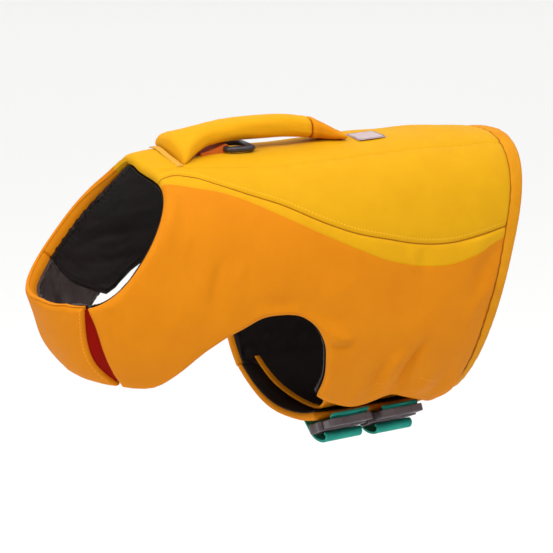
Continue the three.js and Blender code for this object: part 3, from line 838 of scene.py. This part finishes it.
def woven(name, colour, dark, yarn=0.62, weave=0.25, roughness=0.7, patches=0.5, gloss=0.12, thread=None):
    """Cloth with a plain weave that follows its uv, soft patches, painted shade along its seams and stitch
    grooves, and raised stitches.
    """
    colour, dark = srgb(*colour), srgb(*dark)
    look = Look(name, Specular_IOR_Level=gloss)
    uv = look.node("UVMap", "UV", uv_map="cloth")
    places = look.node("SeparateXYZ", 0, Vector=uv).node.outputs
    cross = look.math("MULTIPLY", look.sine(places[0], yarn), look.sine(places[1], yarn))
    cloudy = look.noise(uv, 0.035, 5.0, 0.6)
    patchy = look.node("MapRange", "Result", Value=cloudy, From_Min=0.3, From_Max=0.7, To_Max=patches)
    cloth = look.blend(look.math("MULTIPLY_ADD", cross, 0.12, patchy), colour, dark)
    marks = ("sewn", "thread", "along")
    sewn, line, along = [look.node("Attribute", "Fac", attribute_name=mark) for mark in marks]
    away = look.math("SUBTRACT", FAR, sewn)
    # Painted shade: a thin dark brown line along each seam stands in for the shadow in its groove.
    seam = look.math("MULTIPLY", look.math("SUBTRACT", SEAM_SHADE_LINE, away), 1.3, clamp=True)
    off = look.math("ABSOLUTE", look.math("SUBTRACT", line, THREAD_ZERO))
    near = look.math("MULTIPLY", look.math("SUBTRACT", THREAD_LINE, off), 4.0, clamp=True)
    dash = look.math("MULTIPLY_ADD", look.sine(along, STITCH), 3.0, 1.4, clamp=True)
    stitch = look.math("MULTIPLY", near, dash)
    tone = look.blend(seam, cloth, (dark[0] * 0.5, dark[1] * 0.33, dark[2] * 0.3, 1.0))
    # Painted shade: near each stitch line the cloth darkens, standing in for the shadow in the stitch groove;
    # where a thread colour is given, the line takes that thread's own colour instead.
    groove_shade_and_thread, light = 0.3, tuple(min(1.0, value * 1.25 + 0.02) for value in colour[:3]) + (1.0,)
    if thread:
        groove_shade_and_thread, light, dark = 0.9, srgb(*thread), srgb(*thread)
    tone = look.blend(look.math("MULTIPLY", near, groove_shade_and_thread), tone, dark)
    tone = look.blend(look.math("MULTIPLY", stitch, 0.75), tone, light)
    fine = look.noise(uv, 0.9, 3.0)
    sheen = look.node("MapRange", "Result", Value=fine, To_Min=roughness - SHEEN_SPREAD,
                      To_Max=roughness + SHEEN_SPREAD)
    raised = look.math("MULTIPLY_ADD", stitch, 3.0, look.math("MULTIPLY_ADD", fine, 0.5, cross))
    bump = look.node("Bump", "Normal", Strength=weave, Distance=CLOTH_BUMP, Height=raised)
    look.feed(look.shader, Base_Color=tone, Roughness=sheen, Normal=bump)
    return look.material


def moulded(name, colour, dark, roughness=0.42, metallic=0.0):
    """Moulded plastic or painted bar with a fine uneven surface."""
    look = Look(name, Roughness=roughness, Metallic=metallic)
    where = look.node("TexCoord", "Object")
    tone = look.blend(look.noise(where, 180.0, 4.0), srgb(*colour), srgb(*dark))
    grain = look.noise(where, 2200.0, 2.0)
    bump = look.node("Bump", "Normal", Strength=0.12, Distance=MOULDED_BUMP, Height=grain)
    look.feed(look.shader, Base_Color=tone, Normal=bump)
    return look.material


LOOKS = {
    "shell_yellow": woven("yellow_cloth", (212, 156, 8), (203, 144, 5)),
    "shell_gold": woven("gold_cloth", (214, 157, 8), (205, 144, 6)),
    "shell_orange": woven("orange_cloth", (211, 127, 6), (203, 117, 4)),
    "gusset_red": woven("red_stretch", (140, 12, 2), (112, 6, 1), yarn=0.8, gloss=0.04),
    "lining_dark": woven("dark_lining", (24, 12, 9), (11, 5, 3), yarn=0.9, weave=0.4, roughness=0.45,
                         gloss=0.24),
    "webbing_teal": woven("teal_webbing", (46, 166, 148), (24, 128, 114), yarn=1.3, weave=0.8),
    "plastic_grey": moulded("grey_plastic", (86, 74, 78), (64, 54, 58)),
    "ring_metal": moulded("ring_bar", (66, 62, 68), (48, 44, 50), roughness=0.35, metallic=0.4),
    "label_pale": woven("pale_patch", (190, 172, 173), (172, 152, 155), yarn=0.5, thread=(70, 72, 88)),
    # Painted sheen: the chest lining is the dark lining cloth made lighter grey, standing in for the sheen of
    # light on it.
    "chest_lining": woven("chest_lining", (60, 46, 44), (34, 25, 24), yarn=0.9, weave=0.4, roughness=0.42,
                          gloss=0.4),
    # Painted light: the grip's cloth is the yellow shell cloth made lighter and more orange, standing in for
    # light on its lower side.
    "grip": woven("grip_cloth", (221, 157, 11), (212, 147, 8)),
    "tape": woven("front_tape", (226, 172, 66), (212, 152, 44), yarn=1.6, weave=0.9),
    "tab": woven("tab_webbing", (214, 108, 34), (192, 86, 22), yarn=1.2, weave=0.8),
    "band": woven("band_cloth", (212, 143, 16), (203, 128, 8), patches=0.9),
    # Painted light: the handle's rear is the orange shell cloth made lighter, standing in for light falling
    # on it.
    "grip_end": woven("grip_end_cloth", (214, 137, 8), (206, 124, 5)),
}


def dress(thing, slot, node, body=JACKET, look=None):
    """Gives a piece its material and its body, and hides the imported node that it stands for."""
    thing.data.materials.append(LOOKS[look or slot])
    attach(thing, body)
    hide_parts(node)
    return thing


# The panels

def kept_columns(side):
    return [(corner - NECK) / (BAND_SEAM - NECK) for corner in CORNERS[side]]


def add_panel(node, place, kinds, slot, look=None, **more):
    dress(panel(f"{node}_cloth", place, kinds, **more), slot, node, look=look)


def add_sheet(node, piece, slot, look=None):
    dress(piece, slot, node, look=look)


def add_lining(node, place, kinds, flat, area, rests_on, look=None, **more):
    add_sheet(node, lining(f"{node}_cloth", place, kinds, **more), "lining_dark", look)


def facing(v):
    """How far in from the neck the right side's lining starts, in millimetres, with its uneven sewn edge."""
    return 7.5 * smooth(v / 0.45) + 0.5 * np.sin(75 * v) + 0.35 * np.sin(143 * v + 1)


def chest_facing(f):
    return 8.0 - 6.5 * smooth((f - 0.7) / 0.3) + 0.4 * np.sin(19 * f)


def peeking(s, v):
    """The left side's place, with its lining hanging a little below the edge in front of the leg hole."""
    below = 0.015 * smooth(s / 0.05) * smooth((0.3 - s) / 0.06)
    return between_seams("left", "spine", "edge")(s, v * (1 + below))


ALL_HIDDEN = "hidden hidden hidden hidden"
LINED = {"left": peeking, "right": set_back(between_seams("right", "spine", "edge"), facing)}

add_panel("spine_panel", spine_place, "rim seam soft soft", "shell_yellow", puff=0.7, creases="back")
for side in SIDES:
    faced = 0 if side == "right" else None
    add_panel(f"upper_{side}", between_seams(side, "spine", "upper"), "rim seam soft seam",
              "shell_yellow", puff=1.3, threads=[(3, 4.4, -112, 226)], facing_edge=faced)
    add_panel(f"stripe_{side}", between_seams(side, "upper", "stripe"), "rim seam seam flush",
              "shell_gold", puff=0.3, creases=side, facing_edge=faced)
    add_panel(f"side_{side}", between_seams(side, "stripe", "edge"), "rim seam flush rim",
              "shell_orange", puff=1.0, creases=side, keep=kept_columns(side), facing_edge=faced,
              threads=[(3, 25, 76, 108), (3, 30, 152, 188)])
add_panel("tail_band", band_place, "rim rim seam rim", "shell_orange", look="band", puff=0.8,
          inner=LINING_BACK, pucker=2.4)
add_panel("chest_panel", chest_place, "seam rim rim rim", "shell_orange", creases="chest",
          threads=[(1, 3.4, -300, 300)], facing_edge=2)
add_panel("belly_flap", belly_place, "rim rim seam rim", "shell_orange", outer=BELLY_FACE,
          puff=0.6, creases="belly")

add_lining("lining_spine", spine_place, "rim hidden hidden hidden", (0.105, 0.36), 0.033,
           "spine_panel_cloth")
for side in SIDES:
    add_lining(f"lining_{side}", LINED[side], "rim hidden hidden rim", (0.30, 0.40), 0.075,
               f"side_{side}_cloth", keep=kept_columns(side), wrinkle=2.0, gathered=0.9,
               creases=f"lining_{side}")
add_lining("lining_chest", set_back(chest_place, chest_facing, turned=True), "hidden rim rim rim",
           (0.075, 0.235), 0.0125, "chest_panel_cloth", look="chest_lining", wrinkle=2.2, gathered=0.8,
           creases="lining_chest")
add_lining("lining_belly", set_back(belly_place, lambda v: 2.5), "rim rim hidden rim",
           (0.115, 0.175), 0.0175, "belly_flap_cloth", wrinkle=0.3)
flap = panel("inner_flap_cloth", flap_place, "hidden rim rim hidden", outer=FLAP_FACE, inner=FLAP_BACK,
             puff=0.0, pucker=0.5)
add_sheet("inner_flap", flap, "shell_orange")
add_lining("lining_flap", set_back(flap_place, lambda s: 4.5 + 2.5 * s, turned=True), ALL_HIDDEN,
           (0.16, 0.15), 0.0195, "inner_flap_cloth", outer=FLAP_BACK + 0.3, inner=FLAP_LINING_BACK,
           wrinkle=0.5)
gusset = panel("chest_gusset_cloth", gusset_place, ALL_HIDDEN, outer=GUSSET_FACE, inner=GUSSET_BACK,
               puff=0.0, step=2.0)
add_sheet("chest_gusset", gusset, "gusset_red")


# The handle, its tape, the leash ring and its tab

GRIP_COLUMNS = "x z half_width half_height roll droop skew"
GRIP = [
    [-84.6, 17.6, 26, 1.2, 0.19, 5, 0.12],
    [-84, 17.8, 27, 4.6, 0.19, 5, 0.12],
    [-82.5, 18.9, 27.5, 6.6, 0.19, 4.9, 0.12],
    [-78, 20.6, 26, 8, 0.18, 4.2, 0.12],
    [-71, 22.2, 21.5, 9.3, 0.14, 3, 0.1],
    [-62, 24.2, 17, 10.1, 0.07, 1.2, 0.06],
    [-52, 26.6, 14.2, 9.9, 0, 0, 0],
    [-36, 29.2, 13.5, 9.8, 0, 0, 0],
    [-18, 30.6, 13, 10.1, 0, 0, 0],
    [4, 31, 13, 10.3, 0, 0, 0],
    [26, 30.5, 12.5, 10.1, 0, 0, 0],
    [42, 28.6, 12, 9.5, 0, 0, 0],
    [49.5, 27.3, 11.6, 8.9, 0, 0, 0],
    [51, 27, 10.6, 7.8, 0, 0, 0],
]
GRIP_SEAM = 51
GRIP_REAR = [
    [50.6, 27, 10.6, 7.8, 0, 0, 0],
    [52, 26.8, 12.3, 9, 0, 0, 0],
    [60, 25, 14, 8.3, 0, 0, 0],
    [70, 21.6, 17, 6.2, 0, 0, 0],
    [77, 19.6, 18.5, 4.2, 0, 0, 0],
    [82, 18.5, 18.2, 2.8, 0, 0, 0],
    [83.4, 18.3, 17.4, 1.4, 0, 0, 0],
]
TUBE_SIDES = 72
TUBE_POWER = 2.6


def soft_tube(name, rows, step, rises):
    """A flattened tube along the back; rises gives how far its cloth stands out at each place."""
    start, end = rows[0][0], rows[-1][0]
    x = np.linspace(start, end, int(round((end - start) / step)) + 1)
    near = np.array([0.25, 0.6, 1.1])
    x = np.unique(np.concatenate([x, start + near, end - near]))[:, None]
    angle = np.linspace(0, 2 * math.pi, TUBE_SIDES, endpoint=False)[None]
    row = spline(GRIP_COLUMNS, rows)(x)
    waves = (np.cos(angle), np.sin(angle))
    flat, high = [np.sign(wave) * np.abs(wave) ** (2 / TUBE_POWER) for wave in waves]
    lift = rises(x, angle)
    y = (row["half_width"] + lift * np.abs(flat)) * flat
    z = row["z"] + row["roll"] * y - row["droop"] * flat ** 2
    z = z + (row["half_height"] + lift * np.abs(high)) * high
    points = np.stack([x - row["skew"] * y, y, z], -1).reshape(-1, 3)
    grid = np.arange(y.size).reshape(y.shape)
    turned = np.roll(grid, -1, 1)
    walls = np.stack([grid[:-1], turned[:-1], turned[1:], grid[1:]], -1).reshape(-1, 4)
    uv = np.stack(np.broadcast_arrays(x, (angle % math.pi) * 14), -1).reshape(-1, 2)
    # The sewn mark paints shade along the grip's rear seam.
    sewn = FAR - np.minimum(np.abs(x - GRIP_SEAM) + 0 * y, FAR)
    return new_object(name, points, [*walls, grid[0][::-1], grid[-1]], uv, marks={"sewn": sewn})


def grip_rises(x, angle):
    """Soft folds that fan out from the flat front end, and small puckers at the rear seam."""
    side = np.cos(angle)
    front = np.exp(-((x + 74) / 11) ** 2)
    fan = 0.8 * np.sin(9 * side + 1.2) * front * (0.4 + 0.6 * np.abs(side))
    long_folds = 0.22 * np.sin(3 * angle + 0.06 * x) + 0.12 * np.sin(7 * angle - 0.11 * x + 1)
    rear = 0.2 * np.sin(19 * angle) * np.exp(-(GRIP_SEAM - x) / 6)
    across = 0.16 * np.sin(0.5 * x + 2 * side) * np.exp(-((x + 40) / 16) ** 2)
    return fan + long_folds + rear + across


def rear_rises(x, angle):
    puckers = 0.22 * np.sin(17 * angle + 0.4) * np.exp(-(x - GRIP_SEAM) / 7)
    return puckers + 0.2 * np.sin(3 * angle + 0.2 * x)


grip = soft_tube("handle_grip_cloth", GRIP, 1.5, grip_rises)
dress(grip, "shell_yellow", "handle_grip", look="grip")
grip_end = soft_tube("handle_rear_cloth", GRIP_REAR, 1.2, rear_rises)
dress(grip_end, "shell_orange", "handle_rear", look="grip_end")

PATCH_GAP = 0.3


def laid_on(name, front, rear, right, left, thick, step, ripple=0.0, border=1.1):
    """A thin piece that lies on the back, with rounded edges and stitches in from them."""
    cloth = Cloth(lambda s, v: np.stack([mix(front, rear, s), mix(right, left, v)], -1), step)
    rim = cloth.rim("rim rim rim rim")
    curl = rounding(thick / 2, rim)
    wave = ripple * np.sin(cloth.x * 0.6 + 1) * np.sin(cloth.y * 0.5)
    thread = THREAD_ZERO + np.clip(rim - border, -THREAD_ZERO, THREAD_ZERO)
    depths = (curl - wave - PATCH_GAP - thick, -PATCH_GAP - curl * 0.6)
    return cloth.slab(name, depths, marks={"thread": thread, "along": cloth.x + cloth.y})


tape = laid_on("handle_tape_cloth", -91, -85.5, 0.085, -0.085, 1.2, 1.6)
add_sheet("handle_tape", tape, "shell_gold", look="tape")
label = laid_on("label_cloth", 92, 120, 0.016, -0.06, 0.8, 2.0, ripple=0.25)
add_sheet("label_patch", label, "label_pale")

RING = {"bar": 2.62, "pivot": -34, "rear": -9, "half_width": 17, "corner": 6, "z": 14.75}
RING_STEPS = 140
RING_SIDES = 28
TAB = {"from": -58, "half_width": 10.1, "bore": 2.9, "outside": 4.1, "low": 10.0}


def arc(u, v, radius, first, last, steps):
    """Points on a circle between two angles in degrees."""
    angles = np.radians(np.linspace(first, last, steps + 1))
    return [(u + radius * math.cos(t), v + radius * math.sin(t)) for t in angles]


def rounded(half_width, low, high, corner, waist=0.0, steps=8, across=0.0):
    """An outline with round corners, drawn in at its middle by waist on both sides."""
    points = []
    u, middle = half_width - corner, (low + high) / 2
    for cu, cv, first in ((u, high, 0), (-u, high, 90), (-u, low, 180), (u, low, 270)):
        inwards = corner if cv == low else -corner
        points += arc(across + cu, cv + inwards, corner, first, first + 90, steps)
        if waist and first in (90, 270):
            sign, start = math.copysign(1, cu), points[-1][1]
            points += [(sign * (half_width - waist * math.sin(math.pi * k / 12) ** 2),
                        mix(start, 2 * middle - start, k / 12)) for k in range(1, 12)]
    return points


def evenly(line, count, endpoint=True):
    """Evenly spaced points along a line through points, and its length."""
    run = running(step_lengths(line))
    at = np.linspace(0, run[-1], count, endpoint=endpoint)
    return np.stack([np.interp(at, run, line[:, 0]), np.interp(at, run, line[:, 1])], -1), run[-1]


def ring_object():
    half_x, middle = (RING["rear"] - RING["pivot"]) / 2, (RING["rear"] + RING["pivot"]) / 2
    outline = np.array(rounded(half_x, -RING["half_width"], RING["half_width"], RING["corner"], steps=24))
    loop, _ = evenly(np.concatenate([outline, outline[:1]]) + [middle, 0], RING_STEPS, endpoint=False)
    along = unit(np.roll(loop, -1, 0) - np.roll(loop, 1, 0))
    angle = np.linspace(0, 2 * math.pi, RING_SIDES, endpoint=False)
    out = RING["bar"] * np.cos(angle)[None]
    points = np.stack([
        loop[:, :1] + along[:, 1:] * out,
        loop[:, 1:] - along[:, :1] * out,
        RING["z"] + RING["bar"] * np.sin(angle)[None] + 0 * loop[:, :1],
    ], -1).reshape(-1, 3)
    grid = np.arange(len(points)).reshape(len(loop), len(angle))
    nexts = np.roll(grid, -1, 0)
    faces = np.stack([grid, nexts, np.roll(nexts, -1, 1), np.roll(grid, -1, 1)], -1).reshape(-1, 4)
    return new_object("leash_ring_bar", points, faces)


dress(ring_object(), "ring_metal", "leash_ring", body=RING_BODY)


def tab_object():
    """Orange webbing folded round the ring's front bar, its two layers sewn flat in front of it."""
    x0, z0 = RING["pivot"], RING["z"]
    outer = [(TAB["from"], TAB["low"] - 0.2)] + arc(x0, z0, TAB["outside"], -90, 130, 27)
    outer += [(x0 - 7.5, z0 + 1.4), (x0 - 12, z0 - 0.4), (x0 - 17, z0 - 1.6), (TAB["from"], TAB["low"] + 1.9)]
    work = bmesh.new()
    depth = TAB["half_width"] * MM
    loops = []
    for outline in (outer, arc(x0, z0, TAB["bore"], -90, 270, 40)[:-1]):
        verts = [work.verts.new((x * MM, -depth, z * MM)) for x, z in outline]
        loops += [work.edges.new((verts[k - 1], verts[k])) for k in range(len(verts))]
    bmesh.ops.triangle_fill(work, use_beauty=True, use_dissolve=False, edges=loops, normal=(0, -1, 0))
    made = bmesh.ops.extrude_face_region(work, geom=list(work.faces))
    moved = [v for v in made["geom"] if isinstance(v, bmesh.types.BMVert)]
    bmesh.ops.translate(work, verts=moved, vec=(0, 2 * depth, 0))
    thing = finished("ring_tab_cloth", bpy.data.meshes.new("ring_tab_cloth"), work, 40)
    lay_uv(thing.data, [(v.co.x / MM, (v.co.y + v.co.z) / MM) for v in thing.data.vertices])
    return thing


dress(tab_object(), "shell_orange", "ring_tab", look="tab")


# The belly straps and their buckles

STRAPS = {"front": (84, 2.5, 23.5), "rear": (151, 1.5, 19)}
BUCKLE_ROUND = -0.906
BUCKLE_DEPTH = -2.95
STRAP_ROUNDS = [0.87, 0.92, 0.97]
STRAP_DEPTH = 0.9
STRAP_LOOP = [(-28, 6), (-12, 13), (-4, 13), (-0.8, 9.6), (-3.5, 6.6)]
TONGUE_SLOT = [(16, 2.6), (16.2, -1.5), (17.4, -5.2)]
TONGUE_OUT = -7.2
WEBBING_WIDTH = 38
WEBBING_THICK = 2.0
WEBBING_LIP = 0.35
SELVEDGE = 3.2
SELVEDGE_HEIGHT = 0.12


def seat_of(station, tilt):
    """The place of a buckle, in millimetres: across, along from mid-belly up to the hem, and out."""
    out = outward(station, BUCKLE_ROUND)
    up = face(station, BUCKLE_ROUND + PROBE_ROUND) - face(station, BUCKLE_ROUND - PROBE_ROUND)
    across = unit(np.cross(up, out))
    along = np.cross(out, across)
    place = body_point(station, BUCKLE_ROUND, BUCKLE_DEPTH)
    basis = Matrix([list(row) for row in np.stack([across, along, out], -1)]).to_4x4()
    return Matrix.Translation(Vector(place)) @ basis @ Matrix.Rotation(math.radians(tilt), 4, "Y")


def through(points, count, smoothing=0.5):
    """Evenly spaced points of a smooth run through points, and its length."""
    keys = running(step_lengths(np.array(points, float)) ** smoothing)
    fine = spline("t u v", [[key, u, v] for key, (u, v) in zip(keys, points)])(np.linspace(0, keys[-1], 400))
    return evenly(np.stack([fine["u"], fine["v"]], -1), count)


def ribbon(name, run, seat, step=1.6, cup=0.5):
    """Webbing along a run of (along, out) points, with thick rounded edges."""
    line, length = through(run, int(step_lengths(np.array(run)).sum() / step) + 2)
    along = unit(np.gradient(line, axis=0))
    normal = np.stack([-along[:, 1], along[:, 0]], -1)
    half = WEBBING_WIDTH / 2
    across = np.concatenate([[-half], np.linspace(0.3 - half, half - 0.3, 25), [half]])
    lip = np.array([WEBBING_LIP] + [1.0] * 25 + [WEBBING_LIP]) * WEBBING_THICK / 2
    ridge = SELVEDGE_HEIGHT * (np.abs(across) > half - SELVEDGE)
    sides = []
    for sign in (1, -1):
        bend = cup * (1 - (across / half) ** 2) * 0.4
        off = (sign * (lip + ridge))[None] + bend[None] * np.sin(np.linspace(0, math.pi, len(line)))[:, None]
        at = line[:, None] + normal[:, None] * off[..., None]
        sides.append(np.concatenate([np.broadcast_to(across[None, :, None], at.shape[:2] + (1,)), at], -1))
    spin, place = np.array(seat.to_3x3()), np.array(seat.translation)
    layers = [side @ spin.T + place for side in sides]
    x, y = np.broadcast_arrays(np.linspace(0, length, len(line))[:, None], across[None])
    return slab(name, layers, x, y), length


def plate(outline, holes, thick, bevel, seat, middle=0.0):
    """A flat moulding from an outline and holes, all with a small bevel, at a place in its buckle."""
    curve = bpy.data.curves.new("plate", "CURVE")
    curve.dimensions = "2D"
    curve.fill_mode = "BOTH"
    for loop in [outline] + holes:
        line = curve.splines.new("POLY")
        line.points.add(len(loop) - 1)
        line.points.foreach_set("co", [value for u, v in loop for value in (u * MM, v * MM, 0, 1)])
        line.use_cyclic_u = True
    curve.extrude = (thick / 2 - bevel) * MM
    curve.bevel_depth = bevel * MM
    curve.bevel_resolution = 3
    curve.offset = -bevel * MM
    source = linked("plate", curve)
    bpy.context.view_layer.update()
    mesh = bpy.data.meshes.new_from_object(source.evaluated_get(bpy.context.evaluated_depsgraph_get()))
    bpy.data.objects.remove(source)
    world = seat.copy()
    world.translation *= MM
    mesh.transform(world @ Matrix.Translation((0, 0, middle * MM)))
    return mesh


def hole(half_width, low, high, corner, across=0.0):
    return rounded(half_width, low, high, corner, steps=6, across=across)[::-1]


def slot_hole(middle, wide):
    """A slot that the webbing runs through."""
    return hole(WEBBING_WIDTH / 2 + 1, middle - wide / 2, middle + wide / 2, wide / 2 * 0.85)


SOCKET = {"half_width": 25, "from": -23, "to": 3, "waist": 2.5, "thick": 9.5}
PLUG = {"half_width": 22.5, "from": 3.3, "to": 22, "thick": 7}
HOLLOW = {"half": 9.5, "deep": 1.3}
PRONG_ACROSS = 18.6
RAILS = [-21.4, -13.5]


def joined(name, meshes):
    work = bmesh.new()
    for mesh in meshes:
        work.from_mesh(mesh)
    return finished(name, bpy.data.meshes.new(name), work, 32)


def hollowed(outline):
    """The plug's outline, with a shallow hollow in its straight edge furthest along."""
    made = []
    for (u, v), (next_u, next_v) in zip(outline, outline[1:] + outline[:1]):
        made.append((u, v))
        if min(v, next_v) > PLUG["to"] - 0.01 and abs(next_u - u) > 2 * HOLLOW["half"]:
            half = math.copysign(HOLLOW["half"], u - next_u)
            made += [(half * math.cos(t), PLUG["to"] - HOLLOW["deep"] * math.sin(t) ** 0.6)
                     for t in np.linspace(0, math.pi, 13)]
    return made


def socket_object(place, seat):
    """The socket: a frame with two webbing slots, and a hollow head whose side windows show the prongs."""
    top = SOCKET["thick"] / 2
    holes = [slot_hole(-18, 3.6), slot_hole(-9, 3.6)]
    holes += [hole(2.4, -5.4, -0.6, 2.2, sign * PRONG_ACROSS) for sign in (-1, 1)]
    body = rounded(SOCKET["half_width"], SOCKET["from"], SOCKET["to"], 4, SOCKET["waist"])
    parts = [plate(body, holes, SOCKET["thick"], 1.1, seat),
             plate(rounded(12.5, -6.3, 1.6, 2.5), [], 1.2, 0.5, seat, top)]
    for sign in (-1, 1):
        parts.append(plate(arc(sign * PRONG_ACROSS, -3, 2.1, 0, 360, 32)[:-1], [], 5.2, 0.5, seat))
    for along in RAILS:
        rail = rounded(19.5, along - 0.7, along + 0.7, 0.6, steps=6)
        parts.append(plate(rail, [], 0.8, 0.3, seat, top + 0.05))
    return joined(f"socket_{place}_shell", parts)


def plug_object(place, seat):
    """The plug: a bar slot for its webbing, and shoulders that meet the socket."""
    holes = [slot_hole(16.5, 4.5)] + [hole(4.2, 6.8, 10.6, 1.7, sign * 12.5) for sign in (-1, 1)]
    body = hollowed(rounded(PLUG["half_width"], PLUG["from"], PLUG["to"], 4))
    return joined(f"plug_{place}_shell", [
        plate(body, holes, PLUG["thick"], 0.7, seat),
        plate(rounded(5.5, 4.2, 12.4, 1.5), [], 1.0, 0.4, seat, PLUG["thick"] / 2),
    ])


def add_webbing(node, run, seat, rests_on, **more):
    piece, length = ribbon(f"{node}_webbing", run, seat, **more)
    add_sheet(node, piece, "webbing_teal")


for place, (station, tilt, tongue) in STRAPS.items():
    seat = seat_of(station, tilt)
    to_seat = seat.inverted()
    points = [Vector(body_point(station, around, STRAP_DEPTH)) for around in STRAP_ROUNDS]
    sewn = [tuple((to_seat @ point)[1:]) for point in points]
    add_webbing(f"strap_{place}", sewn + STRAP_LOOP, seat, "belly_flap_cloth")
    tongue_run = TONGUE_SLOT + [(tongue, TONGUE_OUT)]
    add_webbing(f"tongue_{place}", tongue_run, seat, "side_left_cloth", step=1.0, cup=0)
    dress(socket_object(place, seat), "plastic_grey", f"socket_{place}")
    dress(plug_object(place, seat), "plastic_grey", f"plug_{place}")


# The camera and the light

TARGET = Vector((0.020, 0.0, -0.110))
DISTANCE = 2.0
LENS = 141.5
SENSOR = 36.0
PHOTO_ANGLES = (-24, 13.5)
# The azimuth, elevation, distance, size and power of each light.
SOFTBOXES = {
    "ceiling": (156, 68, 3.62, 16, 570),
    "overhead": (-40, 72, 1.7, 1.5, 1.5),
    "front": (-66, 36, 2.0, 1.0, 15),
    "side": (2, 56, 2.0, 1.0, 21),
}
STUDIO_WHITE = (1.0, 0.99, 0.975, 1)
STUDIO_STRENGTH = 0.35


def aimed(name, data, azimuth, elevation, distance):
    """A camera or light that looks at the middle of the jacket, from angles in degrees."""
    turn, rise = math.radians(azimuth), math.radians(elevation)
    away = Vector((math.sin(turn) * math.cos(rise), -math.cos(turn) * math.cos(rise), math.sin(rise)))
    thing = linked(name, data)
    thing.location = TARGET + away * distance
    thing.rotation_mode = "QUATERNION"
    thing.rotation_quaternion = (TARGET - thing.location).to_track_quat("-Z", "Y")
    return thing


camera_data = bpy.data.cameras.new("camera")
camera_data.lens = LENS
camera_data.sensor_width = SENSOR
bpy.context.scene.camera = aimed("camera", camera_data, *PHOTO_ANGLES, DISTANCE)
for name, (azimuth, elevation, distance, size, power) in SOFTBOXES.items():
    light = bpy.data.lights.new(name, "AREA")
    light.shape = "SQUARE"
    light.size = size
    light.energy = power
    aimed(name, light, azimuth, elevation, distance)

world = bpy.data.worlds.new("studio")
world.use_nodes = True
background = world.node_tree.nodes["Background"].inputs
background["Color"].default_value = STUDIO_WHITE
background["Strength"].default_value = STUDIO_STRENGTH
bpy.context.scene.world = world
bpy.context.scene.view_settings.view_transform = "Standard"

FLOOR_Z = -620
FLOOR_HALF = 9000
FLOOR_CORNERS = [(-1, -1), (1, -1), (1, 1), (-1, 1)]
floor_points = [[FLOOR_HALF * x, FLOOR_HALF * y, FLOOR_Z] for x, y in FLOOR_CORNERS]
floor = new_object("floor", floor_points, [[0, 1, 2, 3]])
floor.data.materials.append(Look("floor_paper", Roughness=0.9, Base_Color=(0.93, 0.93, 0.93, 1)).material)

bpy.context.view_layer.update()
